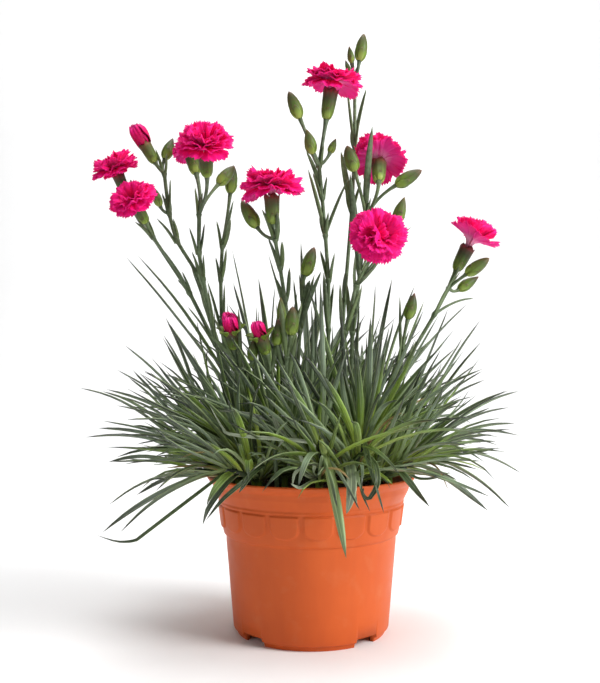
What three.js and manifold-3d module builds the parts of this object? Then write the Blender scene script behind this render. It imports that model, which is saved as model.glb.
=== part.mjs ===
// A potted garden pink (dianthus): a ribbed nursery pot, its compost, a mound of narrow
// leafy shoots, and jointed flower stems that carry fringed blooms, half-open flowers and buds.
// Millimetres, +Z up. The origin is on the floor under the middle of the pot, -Y is the front.
import * as THREE from 'three';
import { mergeVertices } from 'three/addons/utils/BufferGeometryUtils.js';
import Module from 'manifold-3d';

const manifold = await Module();
manifold.setup();

// ---- driving dimensions -------------------------------------------------------------------
const POT = {
  rimRadius: 65, rimTop: 97, rimBelow: 85, wall: 1.8, floorBottom: 5.5, floorTop: 8, footRadius: 46,
  tongues: 18, tongueTop: 79, tongueLow: 65.5, tongueRaise: 0.9, tongueSpan: 17, firstTongue: 3.5,
  notches: 4, notchWidth: 16, notchHeight: 5.2, notchTurn: -2, drainRadius: 4, drainRing: 30, columns: 36,
};
const SOIL = { top: 89, crown: 2.5, holeDepth: 14, gap: 0.35 };
const STEM = { radius: 1.35, jointRadius: 1.75, sides: 5 };
const SHOOT = { radius: 2.1, sides: 4, bend: 11, length: 27 };
const LEAF = { width: 4.8, keel: 1.4, length: 112, steps: 3, arch: 0.17, sag: 0.12, freeFrom: 18 };
const BUD = { stalk: 1.28, foot: 0.3, wideAt: 0.45, neck: 0.36, neckAt: 0.8 };
const CALYX = {
  foot: 2.3, belly: 4.2, bellyAt: 0.3, mouth: 4.8, dimple: 3, tooth: 2, sides: 10, belowThroat: 3.2,
  shortUnder: 14, shortSlimmer: 0.86,
};
const PETAL = { thickness: 0.7, rootRadius: 2.4, ruffle: 0.08, droop: 0.14 };
const CLEAR = 0.75;

// The leaf pairs of a shoot: how far they splay, how that closes towards its top and how much a
// draw changes it, in degrees, and how much shorter and narrower a leaf may be, as shares.
const PAIR = {
  splay: 46, closing: 32, splaySpread: 14, turnSpread: 30, shorter: 0.28, narrower: 0.2,
  lowest: 0.08, tries: 40, seed: 20,
};

// The mound of leaves is oval from above, and no leaf of a pair hangs down before the pot's face.
const MOUND = {
  across: 131, deep: 116, flatness: 0.77, waist: 120, dome: 118, lowest: 94, hangFree: 100, faceHalf: 70,
};

const COLOURS = {
  pot: 0xc9592c, soil: 0x2e2219, leaf: 0x5f7f55, stem: 0x7f9a4e, petal: 0xd8256f, opening: 0xc21a5c,
};

// ---- flower stems -------------------------------------------------------------------------
// A stem stands in the compost at its root, bends at its joints, and each flower, bud and stem
// leaf grows from the joint whose number it gives. A bloom faces along its own direction.
const FLOWER_STEMS = [
  {
    root: [-18, 2],
    joints: [[-60, 0, 178], [-76, 0, 210], [-99, -2, 245]],
    blooms: [
      { from: 2, throat: [-124, 8, 289], faces: [-0.3, -0.42, 0.85], reach: 15.8, calyx: 13 },
      { from: 2, throat: [-109, -12, 266], faces: [-0.4, -0.45, 0.8], reach: 15.5, calyx: 13 },
    ],
    buds: [{ from: 2, base: [-111, 14, 270], tip: [-117, 20, 285], width: 6 }],
    leaves: [{ from: 1, tip: [-101, -6, 246], width: 5 }],
  },
  {
    root: [-33, 12],
    joints: [[-64, 10, 194], [-73, 14, 224], [-87, 18, 245], [-92, 20, 263], [-95, 20, 289]],
    blooms: [
      { from: 4, throat: [-109, 20, 310], faces: [-0.5, 0, 0.86], reach: 9, calyx: 13, opening: 0.2 },
    ],
    buds: [
      { from: 4, base: [-96, 28, 300], tip: [-91, 32, 315], width: 7.5 },
      { from: 3, base: [-97, 16, 267], tip: [-102, 13, 280], width: 6 },
    ],
    leaves: [{ from: 3, tip: [-90, 14, 284], width: 3 }],
  },
  {
    root: [-40, -12],
    joints: [[-59, -10, 180], [-67, -6, 218], [-70, -4, 235], [-70, -2, 259]],
    blooms: [
      { from: 3, throat: [-65, -13, 297], faces: [0, -0.6, 0.8], reach: 18, calyx: 15, layers: 3 },
      { from: 3, throat: [-78, 20, 304], faces: [-0.25, 0.35, 0.9], reach: 13, calyx: 15 },
    ],
    buds: [{ from: 3, base: [-59, 10, 280], tip: [-49, 16, 293], width: 8 }],
    leaves: [{ from: 2, tip: [-68, -10, 267], width: 3 }],
  },
  {
    root: [-44, 26],
    joints: [[-58, 24, 188], [-59, 26, 221], [-58, 28, 243]],
    blooms: [],
    buds: [{ from: 2, base: [-53, 30, 278], tip: [-51, 32, 297], width: 8 }],
    leaves: [{ from: 2, tip: [-50, 22, 272], width: 3.5 }],
  },
  {
    root: [-2, -14],
    joints: [[-16, -14, 205], [-19, -17, 224], [-22, -20, 241]],
    blooms: [{ from: 2, throat: [-24, -22, 270], faces: [-0.03, -0.12, 0.99], reach: 21, calyx: 17 }],
    buds: [{ from: 2, base: [-33, -14, 249], tip: [-43, -10, 266], width: 8.5 }],
    leaves: [],
  },
  {
    root: [-9, -3],
    joints: [[-9, -7, 150], [-7, -8, 186], [-5, -8, 206]],
    blooms: [],
    buds: [{ from: 2, base: [-4, -8, 220], tip: [2, -6, 238], width: 8.5 }],
    leaves: [{ from: 1, tip: [6, -18, 222], width: 3.5 }],
  },
  {
    root: [10, 4],
    joints: [[11, 2, 187], [11, 0, 218], [9, 0, 246], [7, 0, 270], [5, 0, 290]],
    blooms: [{ from: 4, throat: [13, 0, 340], faces: [0.16, -0.08, 0.98], reach: 20, calyx: 18 }],
    buds: [
      { from: 4, base: [-7, -5, 318], tip: [-14, -8, 334], width: 8 },
      { from: 4, base: [1, -9, 295], tip: [-3, -14, 309], width: 7.5 },
      { from: 4, base: [12, 6, 299], tip: [16, 9, 309], width: 5 },
    ],
    leaves: [
      { from: 3, tip: [-3, 7, 301], width: 4.5 },
      { from: 2, tip: [-2, -9, 286], width: 3 },
      { from: 2, tip: [24, 12, 284], width: 3 },
    ],
  },
  {
    root: [14, 18],
    joints: [[22, 20, 207], [27, 24, 266], [29, 26, 308], [29, 26, 345]],
    blooms: [],
    buds: [
      { from: 3, base: [32, 26, 364], tip: [35, 26, 382], width: 8 },
      { from: 3, base: [27, 24, 362], tip: [25, 21, 372], width: 4.5 },
      { from: 3, base: [26, 28, 356], tip: [23, 30, 366], width: 3.5 },
    ],
    leaves: [
      { from: 2, tip: [23, 19, 348], width: 3 },
      { from: 2, tip: [37, 31, 348], width: 3.5 },
      { from: 1, tip: [20, 30, 306], width: 4 },
    ],
  },
  {
    root: [24, -4],
    joints: [[26, 4, 185], [31, 6, 223], [35, 5, 258]],
    blooms: [{ from: 2, throat: [43, 5, 294], faces: [0.06, 0.62, 0.78], reach: 18, calyx: 17 }],
    buds: [
      { from: 2, base: [53, -2, 277], tip: [69, -4, 286], width: 8.5 },
      { from: 2, base: [27, -6, 285], tip: [22, -10, 300], width: 9 },
    ],
    leaves: [
      { from: 2, tip: [37, -18, 310], width: 5 },
      { from: 1, tip: [24, -6, 284], width: 4.5 },
    ],
  },
  {
    root: [12, -24],
    joints: [[20, -24, 184], [27, -20, 213]],
    blooms: [{ from: 1, throat: [38, -42, 239], faces: [0.1, -0.9, 0.42], reach: 18, calyx: 15, layers: 3 }],
    buds: [{ from: 1, base: [51, -22, 250], tip: [56, -23, 266], width: 7.5 }],
    leaves: [{ from: 1, tip: [62, -10, 250], width: 3 }],
  },
  {
    root: [34, 6],
    joints: [[41, 6, 128], [53, 8, 154], [79, 10, 197], [88, 10, 214]],
    blooms: [{ from: 3, throat: [101, 8, 242], faces: [0.45, -0.05, 0.89], reach: 16, calyx: 16 }],
    buds: [
      { from: 3, base: [98, 4, 222], tip: [112, 1, 232], width: 8 },
      { from: 3, base: [95, 15, 213], tip: [109, 19, 222], width: 7 },
    ],
    leaves: [{ from: 2, tip: [106, 20, 208], width: 3 }],
  },
  {
    root: [36, -18],
    joints: [[52, -14, 150], [56, -12, 172]],
    blooms: [],
    buds: [{ from: 1, base: [59, -14, 193], tip: [63, -15, 209], width: 7.5 }],
    leaves: [],
  },
  {
    root: [-28, -32],
    joints: [[-38, -46, 142], [-42, -52, 162]],
    blooms: [
      { from: 1, throat: [-46, -60, 187], faces: [-0.12, -0.4, 0.9], reach: 8, calyx: 11, opening: 0.3 },
    ],
    buds: [{ from: 1, base: [-34, -54, 168], tip: [-33, -58, 180], width: 6 }],
    leaves: [{ from: 1, tip: [-58, -56, 182], width: 4.5 }],
  },
  {
    root: [-20, -44],
    joints: [[-23, -52, 136], [-24, -54, 160]],
    blooms: [
      { from: 1, throat: [-30, -62, 184], faces: [-0.3, -0.35, 0.88], reach: 7, calyx: 11, opening: 0.2 },
    ],
    buds: [{ from: 1, base: [-20, -56, 176], tip: [-19, -58, 191], width: 6.5 }],
    leaves: [],
  },
  {
    root: [-8, -34],
    joints: [[-14, -48, 128], [-15, -54, 156], [-14, -56, 170]],
    blooms: [],
    buds: [
      { from: 2, base: [-12, -58, 182], tip: [-11, -60, 198], width: 8 },
      { from: 2, base: [-17, -52, 188], tip: [-18, -50, 204], width: 5.5 },
    ],
    leaves: [],
  },
];

// ---- leafy shoots -------------------------------------------------------------------------
// A shoot stands in the compost at its root and leans off by an azimuth from +X towards +Y and
// a height above level, in degrees. Its outermost leaves end at given tips, and the seeded rule
// below adds opposite pairs until the shoot has all its leaves.
const SHOOTS = [
  { root: [-24, 26], lean: [172, 60], leaves: 9,
    tips: [[-127, 30, 236], [-106, 22, 234], [-104, 36, 217], [-49, 30, 242]] },
  { root: [-47, 12], lean: [174, 42], leaves: 9,
    tips: [[-92, 20, 197], [-90, 4, 185], [-98, 24, 178], [-113, 12, 177], [-124, 8, 161]] },
  { root: [-49, -4], lean: [182, 20], leaves: 8,
    tips: [
      [-138, -25, 154], [-129, -14, 151], [-118, 2, 157], [-112, -6, 160], [-137, -20, 121], [-126, -30, 126],
    ] },
  { root: [-44, -23], lean: [200, 6], leaves: 8,
    tips: [[-122, -22, 108], [-116, -34, 106], [-119, -44, 86], [-104, -30, 88], [-92, -38, 86]] },
  { root: [-31, -39], lean: [228, 14], leaves: 7,
    tips: [[-110, -56, 72], [-122, -50, 67], [-58, -88, 91], [-61, -80, 79]] },
  { root: [4, -48], lean: [270, 60], leaves: 7,
    tips: [[18, -84, 62], [12, -88, 90], [25, -86, 88], [-8, -120, 106], [-34, -104, 112]] },
  { root: [24, -42], lean: [292, 60], leaves: 7,
    tips: [[36, -88, 86], [44, -98, 108], [20, -100, 138]] },
  { root: [38, -31], lean: [322, 18], leaves: 7,
    tips: [[102, -40, 80], [81, -58, 100], [96, -52, 108], [62, -76, 88]] },
  { root: [48, -9], lean: [345, 20], leaves: 8,
    tips: [[121, -20, 79], [113, -14, 118], [105, -32, 112], [95, -26, 110]] },
  { root: [49, 6], lean: [3, 22], leaves: 9,
    tips: [[138, 20, 95], [130, 8, 128], [130, 0, 150], [120, -10, 141], [108, -18, 138], [106, -4, 117]] },
  { root: [44, 20], lean: [12, 44], leaves: 8,
    tips: [[112, 16, 156], [104, 6, 166], [102, 14, 181], [90, 24, 201]] },
  { root: [30, 32], lean: [32, 62], leaves: 8,
    tips: [[104, 34, 206], [66, 16, 217], [56, 28, 224]] },
  { root: [-16, -20], lean: [205, 72], leaves: 8, tips: [[-46, -34, 214], [-30, -46, 216]] },
  { root: [1, 11], lean: [110, 84], leaves: 7, tips: [[-27, 6, 236], [-7, 14, 248]] },
  { root: [-8, 34], lean: [100, 64], leaves: 8, tips: [[-20, 60, 226], [10, 70, 214]] },
  { root: [12, 44], lean: [74, 34], leaves: 7, tips: [[30, 112, 150], [50, 98, 130]] },
  { root: [-30, 39], lean: [132, 34], leaves: 7, tips: [[-84, 92, 140], [-100, 72, 122]] },
  { root: [-10, 48], lean: [98, 22], leaves: 7, tips: [[4, 120, 110], [-30, 112, 96]] },
  { root: [26, -24], lean: [312, 60], leaves: 8, tips: [[64, -54, 196], [46, -66, 190]] },
  { root: [-34, -24], lean: [216, 52], leaves: 8, tips: [[-84, -46, 190], [-72, -60, 176]] },
];

// ---- vectors, random draws and solids -----------------------------------------------------
const vec = (p) => new THREE.Vector3(...p);
const along = (p, direction, distance) => p.clone().addScaledVector(direction, distance);
const degrees = (angle) => angle * Math.PI / 180;

// One direction turned towards another that is square to it.
function turned(from, towards, angle) {
  return from.clone().multiplyScalar(Math.cos(angle)).addScaledVector(towards, Math.sin(angle));
}

const UP = new THREE.Vector3(0, 0, 1);

function randomDraws(seed) {
  let state = seed;
  return () => {
    state = (Math.imul(state, 1664525) + 1013904223) >>> 0;
    return state / 4294967296;
  };
}

function solidFromFaces(points, faces) {
  const vertProperties = new Float32Array(points.flatMap((p) => [p.x, p.y, p.z]));
  const triVerts = new Uint32Array(faces);
  return new manifold.Manifold(new manifold.Mesh({ numProp: 3, vertProperties, triVerts }));
}

function solidFromGeometry(geometry) {
  geometry.deleteAttribute('normal');
  geometry.deleteAttribute('uv');
  const merged = mergeVertices(geometry, 1e-4);
  return new manifold.Manifold(new manifold.Mesh({
    numProp: 3,
    vertProperties: merged.attributes.position.array,
    triVerts: new Uint32Array(merged.index.array),
  }));
}

function joined(solids) {
  return manifold.Manifold.union(solids);
}

// The largest body of a solid: scraps that fusing leaves loose are dropped.
function mainBody(solid) {
  const bodies = solid.decompose();
  return bodies.reduce((best, body) => (body.volume() > best.volume() ? body : best));
}

function namedMesh(name, solid, colour, roughness) {
  const { vertProperties, triVerts } = mainBody(solid).getMesh();
  const geometry = new THREE.BufferGeometry();
  geometry.setAttribute('position', new THREE.BufferAttribute(vertProperties, 3));
  geometry.setIndex(new THREE.BufferAttribute(triVerts, 1));
  geometry.computeVertexNormals();
  const material = new THREE.MeshStandardMaterial({ color: colour, roughness, metalness: 0 });
  const mesh = new THREE.Mesh(geometry, material);
  mesh.name = name;
  return mesh;
}

// Closes a stack of rings of equal count into one solid. A last ring of one point is a tip.
function loft(rings) {
  const sides = rings[0].length;
  const faces = [];
  const tipped = rings[rings.length - 1].length === 1;
  const bands = rings.length - 1;
  for (let band = 0; band < bands; band += 1) {
    for (let side = 0; side < sides; side += 1) {
      const a = band * sides + side;
      const b = band * sides + (side + 1) % sides;
      if (tipped && band === bands - 1) {
        faces.push(a, b, bands * sides);
      } else {
        faces.push(a, b, b + sides, a, b + sides, a + sides);
      }
    }
  }
  for (let side = 1; side < sides - 1; side += 1) {
    faces.push(0, side + 1, side);
    if (!tipped) {
      const top = bands * sides;
      faces.push(top, top + side, top + side + 1);
    }
  }
  return solidFromFaces(rings.flat(), faces);
}

// Travel direction and two square directions at each point of a line.
function framesAlong(points) {
  const first = points[1].clone().sub(points[0]).normalize();
  let side = Math.abs(first.x) > 0.8 ? new THREE.Vector3(0, 1, 0) : new THREE.Vector3(1, 0, 0);
  return points.map((point, i) => {
    const before = points[Math.max(i - 1, 0)];
    const after = points[Math.min(i + 1, points.length - 1)];
    const travel = after.clone().sub(before).normalize();
    side = along(side, travel, -side.dot(travel)).normalize();
    return { point, travel, side, square: travel.clone().cross(side) };
  });
}

function ringAround(frame, radii, sides) {
  return Array.from({ length: sides }, (_, i) => {
    const turn = i * 2 * Math.PI / sides;
    const radius = radii[i % radii.length];
    return along(frame.point, turned(frame.side, frame.square, turn), radius);
  });
}

// A round stem through points, with a radius at each.
function tube(points, radii, sides) {
  return loft(framesAlong(points).map((frame, i) => ringAround(frame, [radii[i]], sides)));
}

function arc(start, control, end, steps) {
  return new THREE.QuadraticBezierCurve3(start, control, end).getPoints(steps);
}

// ---- pot and compost ----------------------------------------------------------------------
const POT_OUTSIDE = [
  [44, 0], [POT.footRadius, 0], [46.4, 2.6], [48.3, 3.4], [52.8, 56],
  [53, 59.6], [55.2, 65.2], [57.1, 79.6], [57.9, 80.8], [57.5, 82],
  [60.6, 88], [61.4, 92], [POT.rimRadius, 96], [64.2, POT.rimTop],
];

function potRadiusAt(height) {
  const above = POT_OUTSIDE.findIndex(([, z], i) => i > 1 && z >= height);
  const [r1, z1] = POT_OUTSIDE[above];
  const [r0, z0] = POT_OUTSIDE[above - 1];
  return r0 + (r1 - r0) * (height - z0) / (z1 - z0);
}

const POT_INSIDE_HEIGHTS = [94, 81, 56, POT.floorTop];

function lathe(profile, firstColumn) {
  const outline = profile.map(([radius, z]) => new THREE.Vector2(radius, z));
  const geometry = new THREE.LatheGeometry(outline, POT.columns, degrees(firstColumn));
  return solidFromGeometry(geometry.rotateX(Math.PI / 2));
}

// One rounded tongue of the band's relief, bent round the pot: flat at the top, round below.
function bandTongue(turn) {
  const half = degrees(POT.tongueSpan / 2);
  const bandRadius = potRadiusAt(POT.tongueTop);
  const halfWidth = half * bandRadius;
  const outline = new THREE.Shape();
  const shoulder = POT.tongueLow + halfWidth * 0.6;
  outline.moveTo(halfWidth, POT.tongueTop);
  outline.lineTo(0, POT.tongueTop);
  outline.lineTo(-halfWidth, POT.tongueTop);
  outline.absellipse(0, shoulder, halfWidth, halfWidth * 0.6, Math.PI, 2 * Math.PI);
  const plate = new THREE.ExtrudeGeometry(outline, { depth: 1, bevelEnabled: false, curveSegments: 2 });
  const place = plate.attributes.position;
  for (let i = 0; i < place.count; i += 1) {
    const angle = place.getX(i) / bandRadius + turn;
    const z = place.getY(i);
    const radius = potRadiusAt(z) + (place.getZ(i) > 0.5 ? POT.tongueRaise : -POT.wall / 2);
    place.setXYZ(i, radius * Math.sin(angle), -radius * Math.cos(angle), z);
  }
  return solidFromGeometry(plate);
}

function pot() {
  const inside = POT_INSIDE_HEIGHTS.map((z) => [potRadiusAt(z) - POT.wall, z]);
  const profile = [
    ...POT_OUTSIDE, ...inside, [0, POT.floorTop], [0, POT.floorBottom], [43.4, POT.floorBottom],
    POT_OUTSIDE[0],
  ];
  const body = lathe(profile, POT.firstTongue);
  const tongues = Array.from({ length: POT.tongues }, (_, i) => (
    bandTongue(degrees(POT.firstTongue + i * 360 / POT.tongues))
  ));
  const cuts = [];
  for (let i = 0; i < POT.notches; i += 1) {
    const turn = degrees(45 + POT.notchTurn + i * 360 / POT.notches);
    const notch = new THREE.BoxGeometry(POT.notchWidth, 20, 2 * POT.notchHeight);
    notch.translate(0, -POT.footRadius, 0);
    cuts.push(solidFromGeometry(notch.rotateZ(turn)));
    const drain = new THREE.CylinderGeometry(POT.drainRadius, POT.drainRadius, 10, 6);
    drain.rotateX(Math.PI / 2).translate(0, -POT.drainRing, POT.floorTop);
    cuts.push(solidFromGeometry(drain.rotateZ(turn)));
  }
  return joined([body, ...tongues]).subtract(joined(cuts));
}

// Compost fills the pot to under its rim, with a lumpy top and a plain hole for each stem.
function compost(roots) {
  const draw = randomDraws(7);
  const segments = 16;
  const wallRadius = (z) => potRadiusAt(z) - POT.wall - SOIL.gap - 0.2;
  const rows = [
    [wallRadius(POT.floorTop), POT.floorTop + SOIL.gap, 0], [wallRadius(56), 56, 0],
    [wallRadius(81), 81, 0], [wallRadius(86), 86, 0.8], [40, SOIL.top, 1.2],
    [12, SOIL.top + SOIL.crown, 1],
  ];
  const rings = rows.map(([radius, z, lumps]) => Array.from({ length: segments }, (_, i) => {
    const turn = i * 2 * Math.PI / segments;
    return vec([radius * Math.cos(turn), radius * Math.sin(turn), z + lumps * (draw() - 0.5)]);
  }));
  const holes = roots.map(({ at, radius, sides }) => {
    const hole = new THREE.CylinderGeometry(radius, radius, 2 * SOIL.holeDepth, sides);
    hole.rotateX(Math.PI / 2).rotateZ(Math.PI / 2).translate(at[0], at[1], SOIL.top);
    return solidFromGeometry(hole);
  });
  return loft(rings).subtract(joined(holes));
}

// ---- leaves -------------------------------------------------------------------------------
// A grass-like blade with a flat upper face and a keel, widest in its lower half, pointed.
function blade(line, width, keel, facing) {
  const last = line.length - 1;
  const rings = framesAlong(line).map(({ point, travel }, i) => {
    const s = i / last;
    if (i === last) {
      return [point];
    }
    const face = along(facing, travel, -facing.dot(travel)).normalize();
    const side = face.clone().cross(travel);
    const half = width * 0.5 * (0.3 + 2.8 * s - 3 * s * s);
    const depth = keel * (0.7 + 0.6 * s - s * s);
    return [along(point, side, half), along(point, side, -half), along(point, face, -depth)];
  });
  return loft(rings);
}

function leafFacing(start, tip) {
  return vec([-tip.x * 0.4, -tip.y * 0.4, 0.9 * start.distanceTo(tip)]).normalize();
}

function leafLine(start, tip, steps) {
  const reach = start.distanceTo(tip);
  const level = Math.hypot(tip.x - start.x, tip.y - start.y) / reach;
  const control = start.clone().lerp(tip, 0.5);
  control.z += LEAF.arch * reach * level;
  return arc(start, control, tip, steps);
}

// ---- buds, calyxes and petals -------------------------------------------------------------
function pointsOnAxis(base, axis, distances) {
  return distances.map((distance) => along(base, axis, distance));
}

// A side stalk that leaves its joint and meets what it carries end on.
function stalkLine(joint, base, axis) {
  const reach = joint.distanceTo(base);
  return arc(joint, along(base, axis, -0.55 * reach), base, 2);
}

// A pointed bud and the stalk that carries it, in one run.
function bud(joint, base, tip, width) {
  const axis = tip.clone().sub(base);
  const length = axis.length();
  axis.normalize();
  const heights = [BUD.wideAt * length, BUD.neckAt * length];
  const line = [...stalkLine(joint, base, axis), ...pointsOnAxis(base, axis, heights)];
  const radii = [BUD.stalk, BUD.stalk, width * BUD.foot, width / 2, width * BUD.neck];
  const rings = framesAlong(line).map((frame, i) => ringAround(frame, [radii[i]], STEM.sides));
  rings.push([tip]);
  return loft(rings);
}

// The green tube under a bloom: a toothed cup whose dimple takes the petals' root.
function calyxCup(throat, axis, length) {
  const rimLevel = -CALYX.belowThroat;
  const levels = [rimLevel - length, rimLevel - (1 - CALYX.bellyAt) * length, rimLevel];
  const frames = framesAlong(pointsOnAxis(throat, axis, levels));
  const small = length < CALYX.shortUnder ? CALYX.shortSlimmer : 1;
  const rim = ringAround(frames[2], [CALYX.mouth * small], CALYX.sides);
  return loft([
    ringAround(frames[0], [CALYX.foot * small], CALYX.sides),
    ringAround(frames[1], [CALYX.belly * small], CALYX.sides),
    rim.map((p, i) => along(p, axis, i % 2 === 0 ? CALYX.tooth : 0)),
    [along(throat, axis, rimLevel - CALYX.dimple)],
  ]);
}

function calyxBase(bloom) {
  const axis = vec(bloom.faces).normalize();
  return along(vec(bloom.throat), axis, -CALYX.belowThroat - bloom.calyx);
}

// Joins two rows of points, of any counts, with triangles that run the same way.
function stitch(faces, lower, upper) {
  let i = 0;
  let j = 0;
  while (i < lower.length - 1 || j < upper.length - 1) {
    if ((j + 1) * (lower.length - 1) <= (i + 1) * (upper.length - 1)) {
      faces.push(lower[i], upper[j], upper[j + 1]);
      j += 1;
    } else {
      faces.push(lower[i], upper[j], lower[i + 1]);
      i += 1;
    }
  }
}

// One whorl of petals as a single thin dish: notches part the petals, whose edges are waved and
// toothed, and both of its faces have the same triangles, one thickness apart.
function petalWhorl(throat, axis, { petals, lift, reach, turn, teeth, phase }) {
  const start = framesAlong([throat, along(throat, axis, 1)])[0];
  const upper = [];
  const place = (petalTurns, distance, wave) => {
    const angle = turn + petalTurns * 2 * Math.PI / petals;
    const level = distance * Math.cos(lift);
    const out = turned(start.side, start.square, angle);
    const rise = (distance - PETAL.rootRadius) * Math.sin(lift) + wave - PETAL.droop * level * level / reach;
    return upper.push(along(along(throat, out, level), axis, rise)) - 1;
  };
  const root = [];
  const middle = [];
  const border = [];
  const faces = [];
  for (let i = 0; i < petals; i += 1) {
    root.push(place(i - 0.5, PETAL.rootRadius, 0), place(i, PETAL.rootRadius, 0));
    middle.push(place(i - 0.5, reach * 0.5, 0), place(i, reach * 0.55, 0.3 * PETAL.ruffle * reach));
  }
  for (let i = 0; i < petals; i += 1) {
    const edge = teeth.map((length, k) => {
      const across = 0.94 * (k / (teeth.length - 1) - 0.5);
      const wave = PETAL.ruffle * reach * Math.sin(2.3 * k + phase + 2.6 * i);
      return place(i + across, reach * length, wave);
    });
    border.push(middle[2 * i], ...edge);
    stitch(faces, [middle[2 * i], middle[2 * i + 1], middle[(2 * i + 2) % middle.length]], edge);
  }
  stitch(faces, [...root, root[0]], [...middle, middle[0]]);
  for (let i = 1; i < root.length - 1; i += 1) {
    faces.push(root[0], root[i], root[i + 1]);
  }
  const count = upper.length;
  const under = [];
  for (let i = 0; i < faces.length; i += 3) {
    under.push(faces[i] + count, faces[i + 2] + count, faces[i + 1] + count);
  }
  border.forEach((u, i) => {
    const v = border[(i + 1) % border.length];
    under.push(u + count, v + count, v, u + count, v, u);
  });
  const lower = upper.map((p) => along(p, axis, -PETAL.thickness / Math.cos(lift)));
  return solidFromFaces([...upper, ...lower], [...faces, ...under]);
}

const TOOTHED = [0.94, 0.84, 1, 0.84, 0.94];
const WHORLS = [
  { petals: 5, lift: 5, reach: 1, teeth: TOOTHED },
  { petals: 5, lift: 33, reach: 0.9, teeth: [1, 0.82, 1] },
  { petals: 3, lift: 60, reach: 0.62, teeth: [1, 0.82, 1] },
];

// The whorls of one bloom stand on a root that drops into the calyx.
function bloomPetals(bloom, number) {
  const axis = vec(bloom.faces).normalize();
  const throat = vec(bloom.throat);
  const draw = randomDraws(100 + number);
  const [low, high] = framesAlong(pointsOnAxis(throat, axis, [0.8 - CALYX.belowThroat - CALYX.dimple, 0]));
  const rootRing = ringAround(high, [PETAL.rootRadius * 0.9], 6);
  const parts = [loft([rootRing.toReversed(), [low.point]])];
  const whorls = bloom.opening
    ? [{ petals: 4, lift: 90 - 70 * bloom.opening, reach: 1, teeth: TOOTHED }]
    : WHORLS.slice(0, bloom.layers ?? 2);
  whorls.forEach(({ petals, lift, reach, teeth }, layer) => {
    parts.push(petalWhorl(along(throat, axis, 0.5 * layer), axis, {
      petals,
      teeth,
      lift: degrees(lift + 4 * (draw() - 0.5)),
      reach: bloom.reach * reach,
      turn: Math.PI * layer / petals + 0.3 * draw(),
      phase: 6 * draw(),
    }));
  });
  return joined(parts);
}

// ---- flower stems -------------------------------------------------------------------------
// The line of a stem, thicker at its joints, from the foot of its hole to its last joint.
function stemLine(stem) {
  const [x, y] = stem.root;
  const points = [vec([x, y, SOIL.top - SOIL.holeDepth + SOIL.gap]), vec([x, y, SOIL.top + 5])];
  const radii = [STEM.radius, STEM.radius];
  const joints = stem.joints.map(vec);
  points.push(...joints);
  radii.push(...joints.map(() => STEM.jointRadius));
  return { points, radii, joints };
}

function flowerStem(stem) {
  const { points, radii, joints } = stemLine(stem);
  const parts = [tube(points, radii, STEM.sides)];
  stem.blooms.forEach((bloom) => {
    const axis = vec(bloom.faces).normalize();
    const line = stalkLine(joints[bloom.from], along(calyxBase(bloom), axis, 0.6), axis);
    parts.push(tube(line, line.map(() => STEM.radius), STEM.sides));
    parts.push(calyxCup(vec(bloom.throat), axis, bloom.calyx));
  });
  stem.buds.forEach(({ from, base, tip, width }) => {
    parts.push(bud(joints[from], vec(base), vec(tip), width));
  });
  stem.leaves.forEach(({ from, tip, width }) => {
    const line = leafLine(joints[from], vec(tip), LEAF.steps);
    parts.push(blade(line, width, LEAF.keel, leafFacing(joints[from], vec(tip))));
  });
  return joined(parts);
}

// ---- where things are, as rows of balls that the leaves keep clear of ---------------------
const taken = [];

function takeLine(owner, line, radius, step = 3) {
  line.forEach((end, i) => {
    const start = line[Math.max(i - 1, 0)];
    const steps = Math.max(1, Math.ceil(start.distanceTo(end) / step));
    for (let k = 1; k <= steps; k += 1) {
      const p = start.clone().lerp(end, k / steps);
      taken.push({ owner, x: p.x, y: p.y, z: p.z, radius });
    }
  });
}

function takeFlowerStem(owner, stem) {
  const { points, joints } = stemLine(stem);
  takeLine(owner, points, STEM.jointRadius);
  stem.blooms.forEach((bloom) => {
    const axis = vec(bloom.faces).normalize();
    const base = calyxBase(bloom);
    takeLine(owner, stalkLine(joints[bloom.from], base, axis), STEM.radius);
    takeLine(owner, [base, vec(bloom.throat)], CALYX.mouth);
    takeLine(owner, [along(vec(bloom.throat), axis, bloom.reach * 0.25)], bloom.reach);
  });
  stem.buds.forEach(({ from, base, tip, width }) => {
    takeLine(owner, stalkLine(joints[from], vec(base), vec(tip).sub(vec(base)).normalize()), STEM.radius);
    takeLine(owner, [vec(base), vec(tip)], width / 2);
  });
  stem.leaves.forEach(({ from, tip, width }) => {
    takeLine(owner, leafLine(joints[from], vec(tip), 8), width / 2);
  });
}

// True where a ball is clear of the pot, the compost and every other node, and, once it is free
// of its own shoot's base, of that shoot's other leaves.
function isClear(owner, p, radius, free) {
  const across = Math.hypot(p.x, p.y);
  if (p.z < SOIL.top + SOIL.crown + radius + CLEAR && across < potRadiusAt(SOIL.top)) {
    return false;
  }
  if (p.z < POT.rimTop + radius + CLEAR) {
    const wallOutside = p.z < POT.rimTop ? potRadiusAt(Math.max(p.z - radius, 8)) : POT.rimRadius;
    const inside = across < potRadiusAt(SOIL.top) - POT.wall - radius - CLEAR;
    const widest = Math.max(wallOutside, p.z > POT.rimBelow ? POT.rimRadius : 0);
    const outside = across > widest + POT.tongueRaise + radius + CLEAR;
    if (!inside && !outside) {
      return false;
    }
  }
  return taken.every((ball) => {
    const reach = ball.radius + radius + CLEAR;
    const dx = ball.x - p.x;
    const dy = ball.y - p.y;
    const dz = ball.z - p.z;
    const joins = ball.owner === owner && !(free && ball.free);
    return joins || dx * dx + dy * dy + dz * dz > reach * reach;
  });
}

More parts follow.
